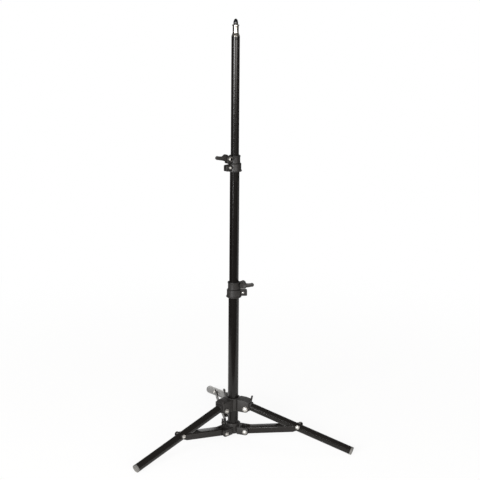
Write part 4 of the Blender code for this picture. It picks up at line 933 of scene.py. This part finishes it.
collar_low = heights("lower_collar")[0]
collar_top = collar_pivot[1] + COLLAR_ABOVE_PIVOT
collar_ring = COLLAR_BORE + COLLAR_WALL
in_wall = (COLLAR_BORE + collar_ring) / 2
lug_end = pivot_radius + COLLAR_LUG_RADIUS
fork_shape = outline(
    (in_wall, collar_low + EDGE, 0),
    arc(pivot_radius, collar_pivot[1], COLLAR_LUG_RADIUS, -80, 0),
    (lug_end, collar_pivot[1] + 0.7 * COLLAR_LUG_RADIUS, 2 * MM),
    (lug_end - COLLAR_LUG_RADIUS / 3, collar_pivot[1] + COLLAR_LUG_TOP, 3 * MM),
    (in_wall, collar_pivot[1] + COLLAR_LUG_TOP + EDGE, 0))
slot_start = pivot_radius - np.hypot(BRACE_WEB_START, BRACE_HEIGHT / 2) + GAP
slot_shape = rectangle(slot_start, 0, 2 * lug_end, 2 * collar_top)
tab_x = collar_ring + COLLAR_TAB_OFFSET
tab_half = COLLAR_TAB_WIDTH / 2
tab_high = collar_top + COLLAR_TAB_HEIGHT
tab_shape = outline(
    (tab_x - tab_half, collar_pivot[1], 0), (tab_x + tab_half, collar_pivot[1], 0),
    (tab_x + 0.7 * tab_half, tab_high, 0.8 * MM), (tab_x - 0.7 * tab_half, tab_high, 0.8 * MM))
tab_side = -COLLAR_HALF + EDGE / 2
collar_forks = forks(fork_shape, COLLAR_HALF, tab_shape,
                     (tab_side, tab_side + TAB_THICKNESS_SHARE * COLLAR_LUG), slot_shape,
                     COLLAR_SLOT_HALF, (COLLAR_BOLT.diameter, collar_pivot[1]))
core = turned("core", [(COLLAR_BORE, 0), (COLLAR_BORE, 2 * collar_top)])
sleeve = turned("sleeve", outline(
    (COLLAR_BORE, collar_low, 0.4 * MM), (collar_ring, collar_low, EDGE),
    (collar_ring, collar_top, EDGE), (COLLAR_BORE, collar_top, 0.4 * MM)), hollow=True)
collar = fuse("collar", sleeve, *collar_forks, ("DIFFERENCE", core))
show("moulded_lower_collar", collar, column, nylon, "root", "moulding", "lower_collar")

SET_SCREW_TURN = np.radians(30)
SET_SCREW_DIAMETER = 4.0 * MM
SET_SCREW_HEAD = 7.0 * MM
SET_SCREW_HEAD_HEIGHT = 2.4 * MM
SOCKET_DIAMETER = 3.4 * MM
SOCKET_FLOOR = 1.0 * MM
face = collar_ring + GAP / 2
head, shank, socket = SET_SCREW_HEAD / 2, SET_SCREW_DIAMETER / 2, SOCKET_DIAMETER / 2
screw = turned("set_screw", outline(
    (0, COLLAR_BORE, 0), (shank, COLLAR_BORE, 0), (shank, face, 0), (head, face, 0.2 * MM),
    (head, face + SET_SCREW_HEAD_HEIGHT, 0.6 * MM),
    (socket, face + SET_SCREW_HEAD_HEIGHT, 0.2 * MM), (socket, face + SOCKET_FLOOR, 0),
    (0, face + SOCKET_FLOOR, 0)), around=48)
screw_place = column_point(SET_SCREW_TURN, (collar_low + collar_top) / 2)
show("plated_collar_screw", screw, screw_place @ Matrix.Rotation(np.pi / 2, 4, "Y"), zinc, "root",
     "fastener", "collar_screw")

# Legs
# Three straight enamelled tubes. A moulded head, pressed into the upper end, has the eye that
# turns on the hub bolt; a grey plastic plug, worn flat on the floor, closes the lower end.

LEG_HEAD_LENGTH = 10 * MM
LEG_HEAD_PLUG = 16 * MM
HEAD_ROUND = 2.4 * MM
FOOT_PLUG = 17 * MM
FOOT_LIP = 5.0 * MM
FOOT_OVERHANG = 0.1 * MM
SOLID_FOOT_OVERHANG = 0.2 * MM
DUST_PATCH = 3 * MM
DUST_HEIGHT = 9 * MM
SCUFF_DEPTH = 0.1 * MM
FOOT_FLAT = 1.2 * MM
FOOT_DISH = 0.6 * MM
ALONG_X = Matrix.Rotation(np.pi / 2, 4, "Y")


def scuffed_plug(name, colour, dust):
    """Soft grey PVC moulding, matt, paler and rougher where it has rubbed on floors: dust lies
    in patches on its lowest few millimetres."""
    made, tree, shader = surface(name, 0.6)
    place = add(tree, "ShaderNodeTexCoord")
    split = add(tree, "ShaderNodeSeparateXYZ", {"Vector": place.outputs["Object"]})
    low = add(tree, "ShaderNodeMapRange", {
        "Value": split.outputs["Z"], "From Min": 0.0, "From Max": DUST_HEIGHT,
        "To Min": 0.9, "To Max": 0.1})
    patches = add(tree, "ShaderNodeTexNoise", {
        "Vector": place.outputs["Object"], "Scale": per_metre(DUST_PATCH), "Detail": 5.0})
    amount = add(tree, "ShaderNodeMath", {
        0: low.outputs["Result"], 1: patches.outputs["Fac"]}, operation="MULTIPLY")
    tint = add(tree, "ShaderNodeMix", {
        "Factor": amount.outputs["Value"], "A": linear(colour), "B": linear(dust)},
        data_type="RGBA")
    tree.links.new(tint.outputs["Result"], shader.inputs["Base Color"])
    rough = add(tree, "ShaderNodeMapRange", {
        "Value": amount.outputs["Value"], "To Min": 0.5, "To Max": 0.9})
    textured(tree, shader, rough, patches, 0.4, SCUFF_DEPTH)
    return made


def worn_flat(points):
    """Brings every point that is below the floor, z = 0, up to it."""
    points[:, 2] = np.maximum(points[:, 2], 0)
    return points


leg_enamel = gloss_enamel("gloss_black_enamel_on_leg", "#12100F", "#1C1A18", 0.12)
plug_plastic = scuffed_plug("scuffed_grey_pvc", "#6B6A68", "#A3A09A")
lip = LEG_DIAMETER / 2 + FOOT_OVERHANG
foot_height = (LEG_DIAMETER / 2 + SOLID_FOOT_OVERHANG) * np.cos(LEG_SLOPE) - FOOT_FLAT
start_height = hub_pivot[1] + LEG_ABOVE_PIVOT * np.cos(LEG_SLOPE)
leg_reach = (start_height - foot_height) / np.sin(LEG_SLOPE)
plug = LEG_DIAMETER / 2 - TUBE_WALL - GAP
leg_half = LEG_DIAMETER / 2 - GAP
head_top = LEG_ABOVE_PIVOT + LEG_DIAMETER / 2
head_shape = outline(
    (LEG_HEAD_LENGTH, head_top, 0), (0.25 * LEG_EYE_RADIUS, head_top, 3.5 * MM),
    (-0.35 * LEG_EYE_RADIUS, head_top - 1.5 * MM, 3 * MM), arc(0, 0, LEG_EYE_RADIUS, 140, 300),
    (LEG_HEAD_LENGTH, LEG_ABOVE_PIVOT - LEG_DIAMETER / 2, 0))
for index in range(3):
    number = str(index + 1)
    body = "leg_" + number
    pivot = leg_place(index, *hub_pivot, LEG_SLOPE)
    axis = pivot @ Matrix.Translation((0, 0, LEG_ABOVE_PIVOT))
    tube = pipe("leg", LEG_DIAMETER, TUBE_WALL, LEG_HEAD_LENGTH + GAP, leg_reach - FOOT_LIP - GAP)
    show("enamelled_leg_tube_" + number, tube, axis @ ALONG_X, leg_enamel, body, "tube_paint",
         "leg_tube_" + number)
    eye = slab("eye", head_shape, -leg_half, leg_half, HEAD_ROUND)
    hole = bolt_hole(HUB_BOLT.diameter, LEG_DIAMETER / 2)
    spud = turned("spud", outline(
        (0, LEG_HEAD_LENGTH / 2, 0), (plug, LEG_HEAD_LENGTH / 2, 0),
        (plug, LEG_HEAD_LENGTH + LEG_HEAD_PLUG, MM), (0, LEG_HEAD_LENGTH + LEG_HEAD_PLUG, 0)),
        around=64)
    spud.transform(Matrix.Translation((0, 0, LEG_ABOVE_PIVOT)) @ ALONG_X)
    leg_head = fuse("leg_head", eye, ("UNION", spud), ("DIFFERENCE", hole))
    show("moulded_leg_head_" + number, leg_head, pivot, nylon, body, "moulding",
         "leg_head_" + number)
    foot = turned("foot", outline(
        (0, leg_reach - FOOT_LIP - FOOT_PLUG, 0), (plug, leg_reach - FOOT_LIP - FOOT_PLUG, MM),
        (plug, leg_reach - FOOT_LIP, 0), (lip, leg_reach - FOOT_LIP, 0.3 * MM),
        (lip, leg_reach, 0.9 * MM), (0.62 * lip, leg_reach, 0.4 * MM),
        (0.56 * lip, leg_reach - FOOT_DISH, 0.3 * MM), (0, leg_reach - FOOT_DISH, 0)), around=128)
    foot.transform(axis @ ALONG_X)
    reshape(foot, worn_flat)
    show("grey_foot_plug_" + number, foot, Matrix.Identity(4), plug_plastic, body, "foot",
         "foot_plug_" + number)

# Braces
# Steel sheet folded into a channel, its web uppermost, then enamelled. The web is notched away
# at both ends, so that the two cheeks straddle the collar's pivot and the leg.

BEND_OUTSIDE = 2.4 * MM
BEND_INSIDE = 0.9 * MM
BRACE_RISE = 2.5 * MM
BRACE_DROP = 3.2 * MM
WEB_SHORT_OF_LEG = 57 * MM
COLLAR_END_RADIUS = 6.8 * MM
LEG_END_RADIUS = 7.0 * MM

rise = collar_pivot[1] - leg_pivot[1]
run = leg_pivot[0] - collar_pivot[0]
brace_length = np.hypot(run, rise)
brace_slope = np.arctan2(-rise, run)
taper = (BRACE_RISE + BRACE_DROP) / brace_length


def brace_edge(x, side):
    """Height of the upper or lower edge (side 1 or -1): both fall evenly towards the leg."""
    return BRACE_RISE - taper * x + side * BRACE_HEIGHT / 2


def channel(low_x, high_x, depth):
    """Folded channel: its section, a U with rounded bends, is carried along the upper edge."""
    section = outline(
        (-BRACE_HALF, -depth, 0), (-BRACE_HALF, 0, BEND_OUTSIDE), (BRACE_HALF, 0, BEND_OUTSIDE),
        (BRACE_HALF, -depth, 0), (LEG_HALF_SPACE, -depth, 0), (LEG_HALF_SPACE, -SHEET, BEND_INSIDE),
        (-LEG_HALF_SPACE, -SHEET, BEND_INSIDE), (-LEG_HALF_SPACE, -depth, 0))
    x = np.array([low_x, high_x])[:, None] + 0 * section[None, :, 0]
    y = np.repeat(section[None, :, 0], 2, 0)
    z = section[None, :, 1] + brace_edge(x, 1)
    return skin("channel", np.stack([x, y, z], -1), ends="face")


brace_enamel = gloss_enamel("gloss_black_enamel_on_steel_sheet", "#141211", "#211E1C", 0.2)
near, far = COLLAR_END_RADIUS, LEG_END_RADIUS
side_shape = outline(
    arc(0, 0, near, 150, 230), (0, brace_edge(0, -1), MM),
    (brace_length - 2 * far, brace_edge(brace_length - 2 * far, -1), 4 * MM),
    arc(brace_length, 0, far, -60, 90),
    (brace_length - 1.7 * far, brace_edge(brace_length - 1.7 * far, 1) + MM, 0),
    (0.6 * near, brace_edge(0, 1) + MM, 0))
web_end = brace_length - WEB_SHORT_OF_LEG
past = brace_length + 4 * far
for index in range(3):
    number = str(index + 1)
    fold = channel(-4 * near, past, 2 * BRACE_HEIGHT)
    side = slab("side", side_shape, -2 * BRACE_HALF, 2 * BRACE_HALF)
    notches = [slab("notch", rectangle(start, -2 * BRACE_HEIGHT, end, 2 * BRACE_HEIGHT),
                    -LEG_HALF_SPACE, LEG_HALF_SPACE)
               for start, end in ((-5 * near, BRACE_WEB_START), (web_end, 1.2 * past))]
    holes = [bolt_hole(COLLAR_BOLT.diameter, BRACE_HALF),
             bolt_hole(LEG_BOLT.diameter, BRACE_HALF, brace_length)]
    brace = fuse("brace", fold, ("INTERSECT", side),
                 *(("DIFFERENCE", tool) for tool in notches + holes))
    show("enamelled_brace_" + number, brace, leg_place(index, *collar_pivot, -brace_slope),
         brace_enamel, "brace_" + number, "brace_paint", "brace_" + number)

# Floor, light and camera
# A white paper sheet on a floor coloured dark round it as painted shade, which the camera sees
# as white all over with a soft shadow. Four soft boxes light the stand, and only gloss sees the
# dim cloth tent round it, which glows dimly of itself as painted light.

CAMERA_TURN = np.radians(-11.8)
CAMERA_DISTANCE = 2967.8 * MM
CAMERA_HEIGHT = 1315.9 * MM
CAMERA_YAW = np.radians(0.26)
CAMERA_PITCH = np.radians(15.43)
CAMERA_ROLL = np.radians(0.48)
LENS = 99.36
SENSOR = 36.0
FLOOR_HALF = 9.0
SHEET_LEFT = 0.65
SHEET_RIGHT = 3.2
SHEET_FRONT = 0.36
SHEET_BACK = 1.2
SHEET_SOFT = 0.06
DARK_FLOOR_END = 3.4
PALE_FLOOR_START = 7.0
PLAIN_WHITE_SHARE = 0.9
SHADOW_FADE_START = 0.4
SHADOW_FADE_END = 1.5
SKY_LEVEL = 0.3
TENT_RADIUS = 8.0
TENT_GAP_BACK = 14
TENT_GAP_FRONT = -1


def studio_point(turn, distance, height):
    """Place in the studio: turn in degrees to the camera's right, seen from the column."""
    angle = CAMERA_TURN + np.radians(turn) - np.pi / 2
    flat = Vector((np.cos(angle), np.sin(angle), 0)) * distance
    return column.translation + flat + Vector((0, 0, height))


def soft_lamp(name, turn, distance, height, width, tall, power, aim_height, colour):
    """Rectangular soft box, aimed at a height on the column."""
    lamp = bpy.data.lights.new(name, "AREA")
    lamp.shape = "RECTANGLE"
    lamp.size = width
    lamp.size_y = tall
    lamp.energy = power
    lamp.color = linear(colour)[:3]
    thing = object_of(name, lamp)
    thing.location = studio_point(turn, distance, height)
    aim = column.translation + Vector((0, 0, aim_height)) - thing.location
    thing.rotation_euler = aim.to_track_quat("-Z", "Y").to_euler()


soft_lamp("tall_soft_box", turn=-34, distance=3.0, height=0.85, width=0.9, tall=1.6, power=66,
          aim_height=0.6, colour="#FFFFFF")
soft_lamp("strip_soft_box", turn=-18, distance=3.0, height=1.33, width=1.0, tall=0.45, power=22,
          aim_height=0.1, colour="#FFFFFF")
soft_lamp("wide_soft_box", turn=20, distance=3.0, height=1.07, width=2.8, tall=1.3, power=48,
          aim_height=0.6, colour="#FFFCF8")
soft_lamp("top_soft_box", turn=160, distance=2.2, height=2.6, width=1.6, tall=1.6, power=18,
          aim_height=0.3, colour="#FFFFFF")

floor_sides = [-FLOOR_HALF, FLOOR_HALF]
floor_grid = np.stack(np.meshgrid(floor_sides, floor_sides) + [np.zeros((2, 2))], -1)
floor_mesh = bpy.data.meshes.new("floor")
floor_mesh.from_pydata(floor_grid.reshape(-1, 3).tolist(), [], [(0, 1, 3, 2)])
floor = object_of("paper_floor", floor_mesh)


def between(tree, value, low, high, soft):
    """1 where a value lies from low to high, falling to 0 over a soft edge on either side."""
    risen = add(tree, "ShaderNodeMapRange", {
        "Value": value, "From Min": low - soft, "From Max": low}, interpolation_type="SMOOTHSTEP")
    fallen = add(tree, "ShaderNodeMapRange", {
        "Value": value, "From Min": high, "From Max": high + soft, "To Min": 1.0, "To Max": 0.0},
        interpolation_type="SMOOTHSTEP")
    return add(tree, "ShaderNodeMath", {
        0: risen.outputs["Result"], 1: fallen.outputs["Result"]}, operation="MULTIPLY")


def white_paper(name):
    """Matt white paper. To the camera it is mostly plain white, wholly so far off, and the rest
    takes the lamps' light and shadow. To any other ray it is a sheet on a floor whose dark colour
    is painted shade, standing in for floor that the lamps leave unlit, and which pales again
    towards the walls."""
    made = bpy.data.materials.new(name)
    made.use_nodes = True
    tree = made.node_tree
    tree.nodes.clear()
    sight = add(tree, "ShaderNodeLightPath")
    place = add(tree, "ShaderNodeTexCoord")
    square = Matrix.Rotation(-CAMERA_TURN, 4, "Z")
    facing = add(tree, "ShaderNodeMapping", {
        "Vector": place.outputs["Object"], "Rotation": (0, 0, -CAMERA_TURN),
        "Location": -(square @ column.translation)})
    split = add(tree, "ShaderNodeSeparateXYZ", {"Vector": facing.outputs["Vector"]})
    distance = add(tree, "ShaderNodeVectorMath", {0: facing.outputs["Vector"]}, operation="LENGTH")
    across = between(tree, split.outputs["X"], -SHEET_LEFT, SHEET_RIGHT, SHEET_SOFT)
    deep = between(tree, split.outputs["Y"], -SHEET_FRONT, SHEET_BACK, SHEET_SOFT)
    sheet = add(tree, "ShaderNodeMath", {
        0: across.outputs["Value"], 1: deep.outputs["Value"]}, operation="MULTIPLY")
    pale = add(tree, "ShaderNodeMath", {
        0: sheet.outputs["Value"], 1: sight.outputs["Is Camera Ray"]}, operation="MAXIMUM")
    studio = add(tree, "ShaderNodeMapRange", {
        "Value": distance.outputs["Value"], "From Min": DARK_FLOOR_END,
        "From Max": PALE_FLOOR_START})
    # painted shade: round the sheet the floor is coloured dark for reflections and bounced light,
    # standing in for floor that the lamps leave unlit; it pales again further out
    painted_shade_round_about = add(tree, "ShaderNodeMix", {
        "Factor": studio.outputs["Result"], "A": linear("#2C2B2A"), "B": linear("#C8C4C0")},
        data_type="RGBA")
    colour = add(tree, "ShaderNodeMix", {
        "Factor": pale.outputs["Value"], "A": painted_shade_round_about.outputs["Result"],
        "B": linear("#F4F3F1")}, data_type="RGBA")
    lit = add(tree, "ShaderNodeBsdfDiffuse", {"Color": colour.outputs["Result"], "Roughness": 0.5})
    white = add(tree, "ShaderNodeEmission", {"Color": (1, 1, 1, 1), "Strength": 1.0})
    far_white = add(tree, "ShaderNodeMapRange", {
        "Value": distance.outputs["Value"], "From Min": SHADOW_FADE_START,
        "From Max": SHADOW_FADE_END, "To Min": PLAIN_WHITE_SHARE, "To Max": 1.0},
        interpolation_type="SMOOTHSTEP")
    share = add(tree, "ShaderNodeMath", {
        0: sight.outputs["Is Camera Ray"], 1: far_white.outputs["Result"]}, operation="MULTIPLY")
    blend = add(tree, "ShaderNodeMixShader", {
        0: share.outputs["Value"], 1: lit.outputs["BSDF"], 2: white.outputs["Emission"]})
    add(tree, "ShaderNodeOutputMaterial", {"Surface": blend.outputs["Shader"]})
    return made


paper = white_paper("matt_white_background_paper")
floor_mesh.materials.append(paper)

world = bpy.data.worlds.new("studio")
bpy.context.scene.world = world
world.use_nodes = True
tree = world.node_tree
tree.nodes.clear()
sight = add(tree, "ShaderNodeLightPath")
mirrors = add(tree, "ShaderNodeMath", {
    0: sight.outputs["Is Glossy Ray"], 1: sight.outputs["Is Transmission Ray"]},
    operation="MAXIMUM")
seen = add(tree, "ShaderNodeMath", {
    0: sight.outputs["Is Camera Ray"], 1: mirrors.outputs["Value"]}, operation="MAXIMUM")
level = add(tree, "ShaderNodeMapRange", {
    "Value": seen.outputs["Value"], "To Min": SKY_LEVEL, "To Max": 1.0})
sky = add(tree, "ShaderNodeBackground", {
    "Color": (1, 1, 1, 1), "Strength": level.outputs["Result"]})
add(tree, "ShaderNodeOutputWorld", {"Surface": sky.outputs["Background"]})
world.cycles.sampling_method = "NONE"


def dome(gap_back, gap_front, radius):
    """Dome of that radius. Its lower edge stands at one elevation, in degrees, behind the stand
    and at another in front, shared by (0.5 + 0.5 cos turn) squared, the turn from the back."""
    turn = np.linspace(0, 2 * np.pi, 97)[:-1]
    share = (0.5 + 0.5 * np.cos(turn)) ** 2
    low = np.radians(gap_front + (gap_back - gap_front) * share)
    up = low[None] + (np.pi / 2 - low[None]) * np.linspace(0, 0.995, 24)[:, None]
    angle = CAMERA_TURN + np.pi / 2 + turn[None]
    flat = radius * np.cos(up)
    return np.stack([flat * np.cos(angle), flat * np.sin(angle), radius * np.sin(up)], -1)


tent_mesh = skin("tent", dome(TENT_GAP_BACK, TENT_GAP_FRONT, TENT_RADIUS))
tent = object_of("dark_tent", tent_mesh)
tent.visible_camera = False
tent.visible_diffuse = False
tent.visible_shadow = False
tent.visible_transmission = False
# painted light: the tent's cloth glows dimly of itself, though it is no lamp, and only gloss sees
# it
glowing_cloth = bpy.data.materials.new("dim_studio_cloth_with_painted_glow")
glowing_cloth.use_nodes = True
tree = glowing_cloth.node_tree
tree.nodes.clear()
glow = add(tree, "ShaderNodeEmission", {"Color": linear("#5A5856"), "Strength": 1.0})
add(tree, "ShaderNodeOutputMaterial", {"Surface": glow.outputs["Emission"]})
glowing_cloth.cycles.emission_sampling = "NONE"
tent_mesh.materials.append(glowing_cloth)

camera_data = bpy.data.cameras.new("camera")
camera_data.lens = LENS
camera_data.sensor_width = SENSOR
camera = object_of("camera", camera_data)
camera_stand = Matrix.Translation((0, -CAMERA_DISTANCE, CAMERA_HEIGHT))
camera_aim = Matrix.Rotation(-CAMERA_YAW, 4, "Z") @ Matrix.Rotation(
    np.pi / 2 - CAMERA_PITCH, 4, "X") @ Matrix.Rotation(CAMERA_ROLL, 4, "Z")
camera.matrix_world = column @ Matrix.Rotation(CAMERA_TURN, 4, "Z") @ camera_stand @ camera_aim
bpy.context.scene.camera = camera
bpy.context.scene.view_settings.view_transform = "Standard"
